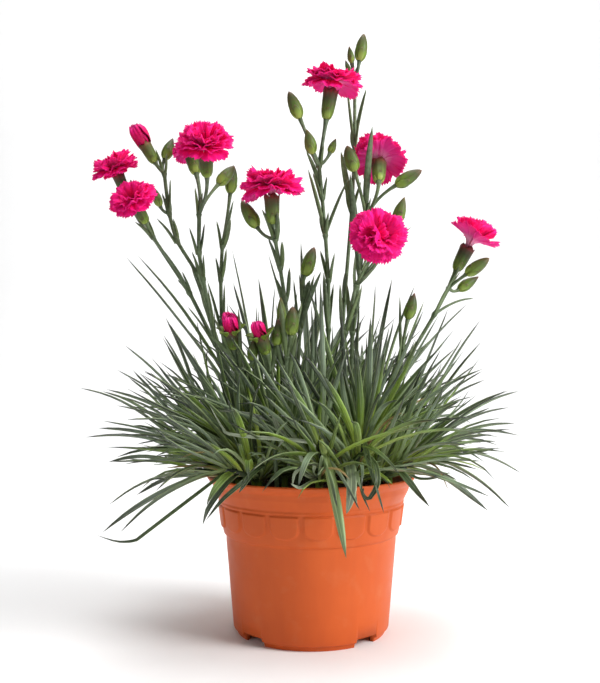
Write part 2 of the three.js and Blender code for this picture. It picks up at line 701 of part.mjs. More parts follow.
// ---- leafy shoots -------------------------------------------------------------------------
function shootLine(shoot) {
  const [x, y] = shoot.root;
  const [azimuth, height] = shoot.lean.map(degrees);
  const lean = vec([
    Math.cos(height) * Math.cos(azimuth), Math.cos(height) * Math.sin(azimuth), Math.sin(height),
  ]);
  const bend = vec([x, y, SOIL.top + SHOOT.bend]);
  const foot = vec([x, y, SOIL.top - SOIL.holeDepth + SOIL.gap]);
  return { lean, bend, line: [foot, bend, along(bend, lean, SHOOT.length)] };
}

// Places a leaf if its whole line is clear, and returns whether it did.
function placeLeaf(shoot, owner, start, tip, width) {
  const line = leafLine(start, tip, Math.ceil(start.distanceTo(tip) / 4));
  const radiusAt = (i) => width * 0.5 * Math.min(1, 1.25 - i / line.length);
  const isFree = (p) => p.distanceTo(start) > LEAF.freeFrom;
  if (!line.every((p, i) => isClear(owner, p, radiusAt(i), isFree(p)))) {
    return false;
  }
  line.forEach((p, i) => {
    taken.push({ owner, x: p.x, y: p.y, z: p.z, radius: radiusAt(i), free: isFree(p) });
  });
  shoot.placed.push({ start, tip, width });
  return true;
}

function placeTipLeaves(shoot, owner) {
  const { lean, bend } = shootLine(shoot);
  shoot.tips.map(vec).forEach((tip, i) => {
    const start = along(bend, lean, SHOOT.length * (1 - 0.6 * i / shoot.tips.length));
    for (let shift = 0; shift <= 30; shift += 6) {
      const back = tip.clone().add(vec([0, shift, 0]));
      const front = tip.clone().add(vec([0, -shift, 0]));
      if ([back, front].some((end) => placeLeaf(shoot, owner, start, end, LEAF.width))) {
        return;
      }
    }
  });
}

function isInMound(tip) {
  const rise = Math.max(0, tip.z - MOUND.waist) * MOUND.across / MOUND.dome;
  const away = Math.hypot(tip.x, MOUND.flatness * tip.y, rise);
  const beforeFace = tip.y < 0 && Math.abs(tip.x) < MOUND.faceHalf && tip.z < MOUND.hangFree;
  return away < MOUND.across && Math.abs(tip.y) < MOUND.deep && !beforeFace && tip.z > MOUND.lowest;
}

function placePairedLeaf(shoot, owner, number, draw) {
  const { lean, bend } = shootLine(shoot);
  const level = number / shoot.leaves;
  const side = lean.clone().cross(UP).normalize();
  const square = side.clone().cross(lean);
  const start = along(bend, lean, SHOOT.length * (PAIR.lowest + (1 - PAIR.lowest) * level));
  for (let attempt = 0; attempt < PAIR.tries; attempt += 1) {
    const pairTurn = 180 * number + 90 * Math.floor(number / 2);
    const turn = degrees(pairTurn + (draw() - 0.5) * (PAIR.turnSpread + 6 * attempt));
    const openSplay = PAIR.splay - PAIR.closing * level;
    const splay = degrees(openSplay + (draw() - 0.5) * (PAIR.splaySpread + attempt));
    const length = LEAF.length * (1 - PAIR.shorter * draw());
    const width = LEAF.width * (1 - PAIR.narrower * draw());
    const radial = turned(side, square, turn);
    const aim = turned(lean, radial, splay);
    const tip = along(start, aim, length);
    tip.z -= LEAF.sag * length * Math.hypot(aim.x, aim.y);
    if (isInMound(tip) && placeLeaf(shoot, owner, start, tip, width)) {
      return;
    }
  }
}

function placeAllLeaves() {
  const draw = randomDraws(PAIR.seed);
  SHOOTS.forEach((shoot, i) => {
    shoot.placed = [];
    takeLine(`shoot ${i}`, shootLine(shoot).line.slice(1), SHOOT.radius);
  });
  SHOOTS.forEach((shoot, i) => placeTipLeaves(shoot, `shoot ${i}`));
  const most = Math.max(...SHOOTS.map((shoot) => shoot.leaves));
  for (let number = 0; number < most; number += 1) {
    SHOOTS.forEach((shoot, i) => {
      if (number < shoot.leaves - shoot.tips.length) {
        placePairedLeaf(shoot, `shoot ${i}`, number, draw);
      }
    });
  }
}

function leafyShoot(shoot) {
  const { line } = shootLine(shoot);
  const parts = [tube(line, [SHOOT.radius, SHOOT.radius, SHOOT.radius * 0.8], SHOOT.sides)];
  shoot.placed.forEach(({ start, tip, width }) => {
    parts.push(blade(leafLine(start, tip, LEAF.steps), width, LEAF.keel, leafFacing(start, tip)));
  });
  return joined(parts);
}

// ---- the plant in its pot -----------------------------------------------------------------
const plant = new THREE.Group();
const numbered = (name, index) => `${name}_${String(index + 1).padStart(2, '0')}`;
const holeRadius = (radius, sides) => radius + SOIL.gap / Math.cos(Math.PI / sides);

FLOWER_STEMS.forEach((stem, i) => takeFlowerStem(`stem ${i}`, stem));
placeAllLeaves();

plant.add(namedMesh('pot', pot(), COLOURS.pot, 0.55));
plant.add(namedMesh('compost', compost([
  ...FLOWER_STEMS.map((stem) => ({
    at: stem.root, radius: holeRadius(STEM.radius, STEM.sides), sides: STEM.sides,
  })),
  ...SHOOTS.map((shoot) => ({
    at: shoot.root, radius: holeRadius(SHOOT.radius, SHOOT.sides), sides: SHOOT.sides,
  })),
]), COLOURS.soil, 0.95));
SHOOTS.forEach((shoot, i) => {
  plant.add(namedMesh(numbered('leafy_shoot', i), leafyShoot(shoot), COLOURS.leaf, 0.6));
});
FLOWER_STEMS.forEach((stem, i) => {
  plant.add(namedMesh(numbered('flower_stem', i), flowerStem(stem), COLOURS.stem, 0.55));
});
const blooms = FLOWER_STEMS.flatMap((stem) => stem.blooms);
blooms.forEach((bloom, i) => {
  const colour = bloom.opening ? COLOURS.opening : COLOURS.petal;
  plant.add(namedMesh(numbered('bloom', i), bloomPetals(bloom, i), colour, 0.6));
});

export default plant;
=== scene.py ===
import math

import bmesh
import bpy
import numpy as np
from mathutils import Matrix, Vector, noise


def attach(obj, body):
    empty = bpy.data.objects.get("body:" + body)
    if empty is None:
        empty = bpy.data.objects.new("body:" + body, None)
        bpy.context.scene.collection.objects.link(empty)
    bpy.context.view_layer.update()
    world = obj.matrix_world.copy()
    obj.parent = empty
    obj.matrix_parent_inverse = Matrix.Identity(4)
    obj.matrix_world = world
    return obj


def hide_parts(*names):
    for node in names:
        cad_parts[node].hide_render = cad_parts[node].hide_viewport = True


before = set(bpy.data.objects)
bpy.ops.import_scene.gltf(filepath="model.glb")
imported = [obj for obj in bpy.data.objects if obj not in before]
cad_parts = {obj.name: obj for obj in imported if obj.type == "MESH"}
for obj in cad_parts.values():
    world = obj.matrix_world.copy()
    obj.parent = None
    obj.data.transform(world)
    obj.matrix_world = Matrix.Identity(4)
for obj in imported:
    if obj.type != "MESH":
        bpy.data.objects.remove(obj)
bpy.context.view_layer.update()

# ---- Pot ----------------------------------------------------------------------------------------
# A nursery pot in one piece of terracotta-coloured polypropylene, injection moulded, so its edges
# are soft. It has a flared rim, a bead, a band of eighteen tongues, and a foot ring with four
# notches and four drain holes. Everything else stands in it. Sizes are in millimetres.
MM = 0.001
POT_OUTLINE = [
    (0, 8), (24, 8), (36, 8), (46.7, 8), (51.0, 56), (56.0, 81), (61.4, 94), (63.1, 96.3),
    (64.2, 97), (65.0, 96), (63.4, 93.4), (61.5, 91.6), (61.2, 90.6), (60.6, 88), (58.3, 83.4),
    (57.5, 82), (57.9, 80.8), (57.1, 79.6), (55.2, 65.2), (54.4, 61.4), (52.9, 60.2), (52.8, 56),
    (48.3, 3.4), (46.5, 2.6), (46.0, 0), (44.0, 0), (43.4, 5.5), (36, 5.5), (24, 5.5), (0, 5.5),
]
POT_STEPS, POT_CUTS = 48, 12
FLAT_FLOOR, FLOOR_UNDER, FLOOR_OVER, FOOT_RADIUS, FOOT_INSIDE = 40, 5, 8.5, 46, 42
BAND_LOW, BAND_HIGH, BAND_INSIDE, BAND_RADIUS = 64, 80, 54, 57
TONGUE_TURN, TONGUE_FIRST, TONGUE_HALF, TONGUE_SOFT = 20, 3.5, 8.5, 0.6
TONGUE_TOP, TONGUE_SHOULDER, TONGUE_ROUND, TONGUE_RAISE = 79.2, 70.8, 5.1, 1.0
NOTCH_FIRST, NOTCH_TURN, NOTCH_HALF, NOTCH_TOP = 43, 90, 8, 5.2
DRAIN_RING, DRAIN_RADIUS, DRAIN_FREE = 30, 4, 7
BAND_STEP, DRAIN_STEP, PLAIN_STEP = 0.6, 0.8, 12


def smoothstep(x):
    x = min(max(x, 0.0), 1.0)
    return x * x * (3 - 2 * x)


def turn_from_front(co):
    """Degrees round the pot from the front, -Y, towards +X."""
    return math.degrees(math.atan2(co.x, -co.y))


def off_nearest(turn, first, pitch):
    """Degrees from the nearest of the places that lie pitch apart round the pot."""
    return (turn - first + pitch / 2) % pitch - pitch / 2


def tongue_relief(co):
    """How far a point of the band stands out: full inside a tongue's outline, soft at its edge."""
    across = math.radians(off_nearest(turn_from_front(co), TONGUE_FIRST, TONGUE_TURN)) * BAND_RADIUS
    half = math.radians(TONGUE_HALF) * BAND_RADIUS
    inside = half - abs(across)
    if co.z < TONGUE_SHOULDER:
        away = math.hypot(across / half, (TONGUE_SHOULDER - co.z) / TONGUE_ROUND)
        inside = min(inside, (1 - away) * TONGUE_ROUND)
    above = smoothstep((TONGUE_TOP - co.z) / TONGUE_SOFT)
    return TONGUE_RAISE * smoothstep(inside / TONGUE_SOFT + 0.5) * above


def screen_colour(colour):
    """The linear colour of a screen colour, 0 to 255, or of a grey given as one number, 0 to 1."""
    def linear(value):
        value /= 255
        return value / 12.92 if value <= 0.04045 else ((value + 0.055) / 1.055) ** 2.4
    if isinstance(colour, tuple):
        return (*(linear(value) for value in colour), 1.0)
    return (colour, colour, colour, 1.0)


class Finish:
    """A material with one Principled shader, whose sockets take the given constants."""

    def __init__(self, name, **sockets):
        self.material = bpy.data.materials.new(name)
        self.material.use_nodes = True
        self.tree = self.material.node_tree
        self.shader = self.tree.nodes["Principled BSDF"]
        for socket, value in sockets.items():
            self.shader.inputs[socket.replace("_", " ")].default_value = value

    def node(self, kind, inputs, **settings):
        """A node whose inputs, by name or number, take a constant or another node's output."""
        made = self.tree.nodes.new("ShaderNode" + kind)
        for key, value in settings.items():
            setattr(made, key, value)
        for key, value in inputs.items():
            if isinstance(value, bpy.types.NodeSocket):
                self.tree.links.new(value, made.inputs[key])
            else:
                made.inputs[key].default_value = value
        return made

    def place(self, stretch=(1, 1, 1)):
        """The place on the object, in metres, stretched along its axes."""
        place = self.node("TexCoord", {}).outputs["Object"]
        return self.node("Mapping", {"Vector": place, "Scale": stretch}).outputs[0]

    def speckle(self, place, scale, detail=3):
        """Noise from 0 to 1. The scale is in spots to the metre."""
        inputs = {"Vector": place, "Scale": scale, "Detail": detail}
        return self.node("TexNoise", inputs).outputs["Fac"]

    def ramp(self, factor, *stops):
        """Colours or greys along a factor."""
        made = self.node("ValToRGB", {"Fac": factor})
        elements = made.color_ramp.elements
        while len(elements) < len(stops):
            elements.new(0.5)
        for element, (position, colour) in zip(elements, stops):
            element.position = position
            element.color = screen_colour(colour)
        return made.outputs["Color"]

    def sum_of(self, operation, first, second=0.0):
        """Arithmetic on two values."""
        return self.node("Math", {0: first, 1: second}, operation=operation).outputs[0]

    def coat(self, under, factor, over, kind="MIX"):
        """One colour laid over another, as strongly as the factor says."""
        over = screen_colour(over) if isinstance(over, tuple) else over
        inputs = {0: factor, 6: under, 7: over}
        return self.node("Mix", inputs, data_type="RGBA", blend_type=kind).outputs[2]

    def feed(self, colour, roughness, height=None, strength=0, distance=0):
        """Links the shader's colour, its roughness and a bump that rises by distance metres."""
        self.tree.links.new(colour, self.shader.inputs["Base Color"])
        self.tree.links.new(roughness, self.shader.inputs["Roughness"])
        if height is not None:
            inputs = {"Height": height, "Strength": strength, "Distance": distance}
            bump = self.node("Bump", inputs).outputs[0]
            self.tree.links.new(bump, self.shader.inputs["Normal"])


def mesh_from(bm, name):
    mesh = bpy.data.meshes.new(name)
    bm.to_mesh(mesh)
    bm.free()
    return mesh


def put_in_scene(name, data):
    holder = bpy.data.objects.new(name, data)
    bpy.context.scene.collection.objects.link(holder)
    return holder


def smooth_object(name, bm, finishes):
    mesh = mesh_from(bm, name)
    mesh.polygons.foreach_set("use_smooth", [True] * len(mesh.polygons))
    for finish in finishes:
        mesh.materials.append(finish.material)
    return put_in_scene(name, mesh)


def finished_piece(name, bm, finishes, slot, *nodes):
    """Makes a bmesh in millimetres a piece in metres, which stands for its CAD nodes."""
    bmesh.ops.scale(bm, verts=bm.verts, vec=(MM, MM, MM))
    piece = smooth_object(name, bm, finishes)
    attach(piece, "root")
    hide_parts(*nodes)
    return piece


def line_through(places):
    """A bmesh with one open line through the given places, and the line's vertices."""
    bm = bmesh.new()
    line = [bm.verts.new(place) for place in places]
    for pair in zip(line, line[1:]):
        bm.edges.new(pair)
    return bm, line


def cut_up(bm, edge, step):
    """Cuts an edge into lengths of about a step."""
    cuts = int(edge.calc_length() / step)
    if cuts:
        bmesh.ops.subdivide_edges(bm, edges=[edge], cuts=cuts)


def spin_full(bm, steps, cuts):
    """Turns an outline in the XZ plane once round the Z axis. Each step is then cut up, and its
    new vertices are moved out to their circles."""
    bmesh.ops.spin(
        bm, geom=bm.verts[:] + bm.edges[:], cent=(0, 0, 0), axis=(0, 0, 1), angle=2 * math.pi,
        steps=steps, use_merge=True,
    )
    bmesh.ops.remove_doubles(bm, verts=bm.verts, dist=0.001)
    level = []
    for edge in bm.edges:
        start, end = (vert.co for vert in edge.verts)
        if abs(start.z - end.z) < 0.0001 and abs(start.xy.length - end.xy.length) < 0.0001:
            level.append(edge)
    bmesh.ops.subdivide_edges(bm, edges=level, cuts=cuts - 1)
    half = math.pi / steps
    for vert in bm.verts:
        off_middle = math.atan2(vert.co.y, vert.co.x) % (2 * half) - half
        vert.co.xy *= math.cos(off_middle) / math.cos(half)


def moulded_pot():
    bm, outline = line_through([(radius, 0, z) for radius, z in POT_OUTLINE])
    bmesh.ops.bevel(
        bm, geom=[vert for vert in outline if vert.co.x > FLAT_FLOOR], offset=0.35,
        offset_type="OFFSET", segments=2, profile=0.5, affect="VERTICES", material=-1,
    )
    for edge in bm.edges[:]:
        low, high = sorted(vert.co.z for vert in edge.verts)
        near, far = sorted(vert.co.x for vert in edge.verts)
        band = low > BAND_LOW and high < BAND_HIGH and far > BAND_INSIDE
        drains = DRAIN_RING - DRAIN_FREE < near and far < DRAIN_RING + DRAIN_FREE
        cut_up(bm, edge, BAND_STEP if band else DRAIN_STEP if drains else PLAIN_STEP)
    spin_full(bm, POT_STEPS, POT_CUTS)
    for vert in bm.verts:
        co = vert.co
        radius = math.hypot(co.x, co.y)
        if BAND_LOW < co.z < BAND_HIGH and radius > BAND_INSIDE:
            co.xy *= (radius + tongue_relief(co)) / radius
        off_notch = off_nearest(turn_from_front(co), NOTCH_FIRST, NOTCH_TURN)
        notch = math.radians(off_notch) * FOOT_RADIUS
        if co.z < NOTCH_TOP and radius > FOOT_INSIDE and abs(notch) < NOTCH_HALF:
            co.z = NOTCH_TOP + 0.02 * co.z
    for turn in range(NOTCH_FIRST, 360, NOTCH_TURN):
        side = math.radians(turn)
        hole = Vector((DRAIN_RING * math.sin(side), -DRAIN_RING * math.cos(side)))
        inside = []
        for face in bm.faces:
            middle = face.calc_center_median()
            if FLOOR_UNDER < middle.z < FLOOR_OVER and (middle.xy - hole).length < DRAIN_RADIUS:
                inside.append(face)
        bmesh.ops.delete(bm, geom=inside, context="FACES")
        rims = [edge for edge in bm.edges if edge.is_boundary]
        for vert in {vert for edge in rims for vert in edge.verts}:
            vert.co.xy = hole + (vert.co.xy - hole).normalized() * DRAIN_RADIUS
        bmesh.ops.bridge_loops(bm, edges=rims)
    bmesh.ops.recalc_face_normals(bm, faces=bm.faces)
    return bm


plastic = Finish("terracotta_plastic", Specular_IOR_Level=0.22)
pot_place = plastic.place()
pot_flow = plastic.speckle(plastic.place((1, 1, 0.12)), 160)
pot_dust = plastic.speckle(pot_place, 90, 6)
pot_colour = plastic.ramp(
    plastic.speckle(pot_place, 28), (0.3, (198, 86, 34)), (0.7, (208, 94, 40)))
pot_worn = plastic.ramp(pot_flow, (0.4, 0), (0.75, 0.2))
pot_colour = plastic.coat(pot_colour, pot_worn, (180, 74, 34))
pot_chalk = plastic.ramp(pot_dust, (0.55, 0), (0.8, 0.14))
pot_colour = plastic.coat(pot_colour, pot_chalk, (212, 146, 108))
pot_rough = plastic.ramp(pot_dust, (0.3, 0.42), (0.75, 0.54))
plastic.feed(pot_colour, pot_rough, plastic.speckle(pot_place, 1400, 2), 0.25, 0.00012)
finished_piece("nursery_pot", moulded_pot(), [plastic], "pot_plastic", "pot")

# ---- Compost ------------------------------------------------------------------------------------
# Dark peat compost with the root ball in it, pressed in up to just under the rim and lumpy on
# top, with loose crumbs and chips of bark lying on it.
SOIL_TOP, SOIL_CROWN, SOIL_SHOULDER, SOIL_EDGE = 89, 2.5, 84, 58
SOIL_OUTLINE = [
    (0, 8.4), (46.1, 8.4), (50.4, 56), (55.4, 81), (56.5, 85.4), (54.6, 87.6), (40, 89.2),
    (12, 91.2), (0, 91.5),
]
SOIL_STEPS, SOIL_CUTS, LUMP_STEP = 36, 4, 1.6
CRUMBS, CRUMB_REACH, CRUMB_SEED = 900, 55, 31


def random_draws(seed):
    """A plain seeded generator, whose draws are from 0 to 1."""
    state = [seed]

    def draw():
        state[0] = (state[0] * 1664525 + 1013904223) & 0xFFFFFFFF
        return state[0] / 4294967296
    return draw


def lumpy_compost():
    bm, _ = line_through([(radius, 0, z) for radius, z in SOIL_OUTLINE])
    for edge in bm.edges[:]:
        on_top = min(vert.co.z for vert in edge.verts) > SOIL_SHOULDER
        cut_up(bm, edge, LUMP_STEP if on_top else PLAIN_STEP)
    spin_full(bm, SOIL_STEPS, SOIL_CUTS)
    for vert in bm.verts:
        if vert.co.z > SOIL_SHOULDER:
            lumps = noise.noise(vert.co / 9) * 1.6 + noise.noise(vert.co / 2.6) * 1.1
            vert.co.z += lumps * smoothstep((SOIL_EDGE - vert.co.xy.length) / 8)
    draw = random_draws(CRUMB_SEED)
    for number in range(CRUMBS):
        out, turn = CRUMB_REACH * math.sqrt(draw()), 2 * math.pi * draw()
        size = 0.5 + 1.5 * draw() ** 3
        spot = Vector((out * math.cos(turn), out * math.sin(turn), 0))
        spot.z = SOIL_TOP + SOIL_CROWN * (1 - out / SOIL_EDGE) + 0.6 * draw()
        chip = Vector((0.6 + 1.6 * draw(), 0.6 + 0.5 * draw(), 0.4 + 0.4 * draw()))
        turned = Matrix.Rotation(math.radians(360 * ((number * 0.37) % 1)), 3, "Z")
        for vert in bmesh.ops.create_icosphere(bm, subdivisions=1, radius=size)["verts"]:
            rough = 1 + 0.35 * noise.noise(vert.co * 1.3 + spot)
            vert.co = turned @ (vert.co * chip * rough) + spot
    bmesh.ops.recalc_face_normals(bm, faces=bm.faces)
    return bm


peat = Finish("peat_compost", Specular_IOR_Level=0.2)
peat_place = peat.place()
peat_crumbs = peat.speckle(peat_place, 900, 5)
peat_colour = peat.ramp(peat.speckle(peat_place, 160), (0.35, (38, 28, 20)), (0.7, (70, 50, 34)))
peat_chips = peat.ramp(peat_crumbs, (0.55, 0), (0.7, 0.7))
peat_colour = peat.coat(peat_colour, peat_chips, (112, 82, 54))
peat_rough = peat.ramp(peat_crumbs, (0.3, 0.98), (0.8, 0.8))
peat.feed(peat_colour, peat_rough, peat_crumbs, 0.8, 0.0008)
finished_piece("peat_compost", lumpy_compost(), [peat], "compost", "compost")

# ---- Flower stems -------------------------------------------------------------------------------
# Thin waxy grey-green stems that stand in the compost and swell at their joints. Each joint holds
# a pair of narrow leaves and sends out side stalks. A stalk ends in a pointed bud, or in the
# ribbed green tube, the calyx, that holds a flower. It is green right through, so it is one piece.
FLOWER_STEMS = [
    # A bloom, bud or leaf gives the number of the joint that it leaves. A bud then gives its foot,
    # its tip and its width, and a leaf its tip and its width.
    {"root": (-18, 2), "joints": [(-60, 0, 178), (-76, 0, 210), (-99, -2, 245)],
     "blooms": [
         {"at": 2, "throat": (-124, 8, 289), "faces": (-0.3, -0.42, 0.85), "reach": 15.8,
          "calyx": 13, "spread": 1.06},
         {"at": 2, "throat": (-109, -12, 266), "faces": (-0.4, -0.45, 0.8), "reach": 15.5,
          "calyx": 13, "spread": 1.04, "looks": (-0.36, -0.68, 0.64), "open": True},
     ],
     "buds": [(2, (-111, 14, 270), (-117, 20, 285), 6)], "leaves": [(1, (-101, -6, 246), 5)]},
    {"root": (-33, 12),
     "joints": [(-64, 10, 194), (-73, 14, 224), (-87, 18, 245), (-92, 20, 263), (-95, 20, 289)],
     "blooms": [
         {"at": 4, "throat": (-109, 20, 310), "faces": (-0.5, 0, 0.86), "reach": 9, "calyx": 13,
          "barrel": 15},
     ],
     "buds": [(4, (-96, 28, 300), (-91, 32, 315), 7.5), (3, (-97, 16, 267), (-102, 13, 280), 6)],
     "leaves": [(3, (-90, 14, 284), 3)]},
    {"root": (-40, -12),
     "joints": [(-59, -10, 180), (-67, -6, 218), (-70, -4, 235), (-70, -2, 259)],
     "blooms": [
         {"at": 3, "throat": (-65, -13, 297), "faces": (0, -0.6, 0.8), "reach": 18, "calyx": 15,
          "spread": 1.07, "cup": 8},
         {"at": 3, "throat": (-78, 20, 304), "faces": (-0.25, 0.35, 0.9), "reach": 13,
          "calyx": 15},
     ],
     "buds": [(3, (-59, 10, 280), (-49, 16, 293), 8)], "leaves": [(2, (-68, -10, 267), 3)]},
    {"root": (-44, 26), "joints": [(-58, 24, 188), (-59, 26, 221), (-58, 28, 243)],
     "blooms": [], "buds": [(2, (-53, 30, 278), (-51, 32, 297), 8)],
     "leaves": [(2, (-50, 22, 272), 3.5)]},
    {"root": (-2, -14), "joints": [(-16, -14, 205), (-19, -17, 224), (-22, -20, 241)],
     "blooms": [
         {"at": 2, "throat": (-24, -22, 270), "faces": (-0.03, -0.12, 0.99), "reach": 21,
          "calyx": 17, "cup": -4},
     ],
     "buds": [(2, (-33, -14, 249), (-43, -10, 266), 8.5)], "leaves": []},
    {"root": (-9, -3), "joints": [(-9, -7, 150), (-7, -8, 186), (-5, -8, 206)],
     "blooms": [], "buds": [(2, (-4, -8, 220), (2, -6, 238), 8.5)],
     "leaves": [(1, (6, -18, 222), 3.5)]},
    {"root": (10, 4),
     "joints": [(11, 2, 187), (11, 0, 218), (9, 0, 246), (7, 0, 270), (5, 0, 290)],
     "blooms": [
         {"at": 4, "throat": (13, 0, 340), "faces": (0.16, -0.08, 0.98), "reach": 20, "calyx": 18,
          "cup": -4},
     ],
     "buds": [(4, (-7, -5, 318), (-14, -8, 334), 8), (4, (1, -9, 295), (-3, -14, 309), 7.5),
              (4, (12, 6, 299), (16, 9, 309), 5)],
     "leaves": [(3, (-3, 7, 301), 4.5), (2, (-2, -9, 286), 3), (2, (24, 12, 284), 3)]},
    {"root": (14, 18), "joints": [(22, 20, 207), (27, 24, 266), (29, 26, 308), (29, 26, 345)],
     "blooms": [],
     "buds": [(3, (32, 26, 364), (35, 26, 382), 8), (3, (27, 24, 362), (25, 21, 372), 4.5),
              (3, (26, 28, 356), (23, 30, 366), 3.5)],
     "leaves": [(2, (23, 19, 348), 3), (2, (37, 31, 348), 3.5), (1, (20, 30, 306), 4)]},
    {"root": (24, -4), "joints": [(26, 4, 185), (31, 6, 223), (35, 5, 258)],
     "blooms": [
         {"at": 2, "throat": (43, 5, 294), "faces": (0.06, 0.62, 0.78), "reach": 18, "calyx": 17,
          "spread": 1.06, "ruffle": 1.6},
     ],
     "buds": [(2, (53, -2, 277), (69, -4, 286), 8.5), (2, (27, -6, 285), (22, -10, 300), 9)],
     "leaves": [(2, (37, -18, 310), 5), (1, (24, -6, 284), 4.5)]},
    {"root": (12, -24), "joints": [(20, -24, 184), (27, -20, 213)],
     "blooms": [
         {"at": 1, "throat": (38, -42, 239), "faces": (0.1, -0.9, 0.42), "reach": 18, "calyx": 15,
          "spread": 1.05, "eyes": 3.9, "open": True},
     ],
     "buds": [(1, (51, -22, 250), (56, -23, 266), 7.5)], "leaves": [(1, (62, -10, 250), 3)]},
    {"root": (34, 6), "joints": [(41, 6, 128), (53, 8, 154), (79, 10, 197), (88, 10, 214)],
     "blooms": [
         {"at": 3, "throat": (101, 8, 242), "faces": (0.45, -0.05, 0.89), "reach": 16, "calyx": 16,
          "spread": 1.2, "cup": 38},
     ],
     "buds": [(3, (98, 4, 222), (112, 1, 232), 8), (3, (95, 15, 213), (109, 19, 222), 7)],
     "leaves": [(2, (106, 20, 208), 3)]},
    {"root": (36, -18), "joints": [(52, -14, 150), (56, -12, 172)],
     "blooms": [], "buds": [(1, (59, -14, 193), (63, -15, 209), 7.5)], "leaves": []},
    {"root": (-28, -32), "joints": [(-38, -46, 142), (-42, -52, 162)],
     "blooms": [
         {"at": 1, "throat": (-46, -60, 187), "faces": (-0.12, -0.4, 0.9), "reach": 8, "calyx": 11,
          "barrel": 10.5, "spread": 0.88},
     ],
     "buds": [(1, (-34, -54, 168), (-33, -58, 180), 6)], "leaves": [(1, (-58, -56, 182), 4.5)]},
    {"root": (-20, -44), "joints": [(-23, -52, 136), (-24, -54, 160)],
     "blooms": [
         {"at": 1, "throat": (-30, -62, 184), "faces": (-0.3, -0.35, 0.88), "reach": 7,
          "calyx": 11, "barrel": 9.2, "spread": 0.88},
     ],
     "buds": [(1, (-20, -56, 176), (-19, -58, 191), 6.5)], "leaves": []},
    {"root": (-8, -34), "joints": [(-14, -48, 128), (-15, -54, 156), (-14, -56, 170)],
     "blooms": [],
     "buds": [(2, (-12, -58, 182), (-11, -60, 198), 8),
              (2, (-17, -52, 188), (-18, -50, 204), 5.5)],
     "leaves": []},
]
STEM_RADIUS, JOINT_RADIUS, STEM_FOOT, STEM_STEP = 1.35, 1.75, 75.35, 9
JOINT_SWELL, JOINT_SPREAD, JOINT_RINGS = 0.75, 1.7, (-3.2, -1.6, -0.6, 0.6, 1.6, 3.2)
BUD_STALK = [1.35, 1.15, 1.05, 1.0, 1.0, 1.1, 1.5]
BUD_HEIGHTS = [0, 0.05, 0.14, 0.27, 0.4, 0.55, 0.7, 0.83, 0.93, 1]
SLENDER_BUD = [0.36, 0.58, 0.82, 0.98, 1.0, 0.9, 0.68, 0.42, 0.2, 0]
RIPE_BUD, RIPE_WIDTH = [0.38, 0.6, 0.84, 0.98, 1.0, 0.94, 0.79, 0.56, 0.32, 0], 7.9
CALYX_STALK = [1.4, 1.25, 1.2, 1.15, 1.15, 1.15, 1.2, 1.35, 1.9]
CALYX_HEIGHTS = [0, 0.05, 0.14, 0.3, 0.5, 0.7, 0.86, 1, 0.97, 0.8, 0.7]
CALYX_RADII = [1.7, 2.6, 3.3, 4.0, 4.3, 4.45, 4.6, 4.9, 4.5, 4.1, 1.0]
CALYX_MOUTH, CALYX_DROP, CALYX_TEETH, CALYX_RIBS, CALYX_RIM = 4.8, 3.2, 5, 20, 7
SHORT_CALYX, LONG_BARREL, SCALE_RINGS, STEM_SEED = 14, 14, 5, 500
MARKS = "along", "across", "tint", "shade"
tube_meshes = {}


def point(values):
    return np.array(values, float)


UP = point((0, 0, 1))


def length_of(vector):
    return math.sqrt(vector[0] * vector[0] + vector[1] * vector[1] + vector[2] * vector[2])


def unit(vector):
    return vector * (1 / length_of(vector))


def swung(first, second, turn):
    """The direction that is turn radians round from the first of two square ones to the second."""
    return first * math.cos(turn) + second * math.sin(turn)


def arc(start, control, end, steps):
    """Points on the curve from start to end that leans towards control."""
    return [
        start * (1 - t) ** 2 + control * (2 * (1 - t) * t) + end * t ** 2
        for t in (i / steps for i in range(steps + 1))
    ]


def leaf_line(start, tip, steps, arch=0.17):
    """A leaf rises off its start, arches over and ends at its tip."""
    reach = length_of(tip - start)
    level = math.hypot(tip[0] - start[0], tip[1] - start[1]) / reach
    control = start + (tip - start) * 0.5
    control[2] += arch * reach * level
    return arc(start, control, tip, steps)


def stalk_line(joint, base, axis, steps=2):
    """A side stalk leaves its joint and meets what it carries end on."""
    return arc(joint, base + axis * (-0.55 * length_of(base - joint)), base, steps)


for stem in FLOWER_STEMS:
    joints = [point(joint) for joint in stem["joints"]]
    foot = point((*stem["root"], STEM_FOOT))
    stem["line"] = [foot, point((*stem["root"], SOIL_TOP + 5)), *joints]
    for bloom in stem["blooms"]:
        bloom["joint"], bloom["throat"] = joints[bloom["at"]], point(bloom["throat"])
        bloom["axis"] = unit(point(bloom["faces"]))
        bloom["base"] = bloom["throat"] + bloom["axis"] * (-CALYX_DROP - bloom["calyx"])
    stem["buds"] = [
        (joints[at], point(base), point(tip), width) for at, base, tip, width in stem["buds"]
    ]
    stem["leaves"] = [(joints[at], point(tip), width) for at, tip, width in stem["leaves"]]


def unit_tube(sides, rings, pointed):
    """A closed tube of unit radius with a ring at each whole height, made once by extruding."""
    if (sides, rings, pointed) not in tube_meshes:
        bm = bmesh.new()
        bmesh.ops.create_circle(bm, segments=sides, radius=1)
        ring = bm.edges[:]
        bmesh.ops.edgeloop_fill(bm, edges=ring)
        for _ in range(rings):
            grown = bmesh.ops.extrude_edge_only(bm, edges=ring)["geom"]
            verts = [part for part in grown if isinstance(part, bmesh.types.BMVert)]
            edges = [part for part in grown if isinstance(part, bmesh.types.BMEdge)]
            ring = [edge for edge in edges if all(vert in verts for vert in edge.verts)]
            bmesh.ops.translate(bm, verts=verts, vec=(0, 0, 1))
        if pointed:
            bmesh.ops.pointmerge(bm, verts=verts, merge_co=(0, 0, rings))
        else:
            bmesh.ops.edgeloop_fill(bm, edges=ring)
        tube_meshes[sides, rings, pointed] = mesh_from(bm, "unit_tube")
    return tube_meshes[sides, rings, pointed]


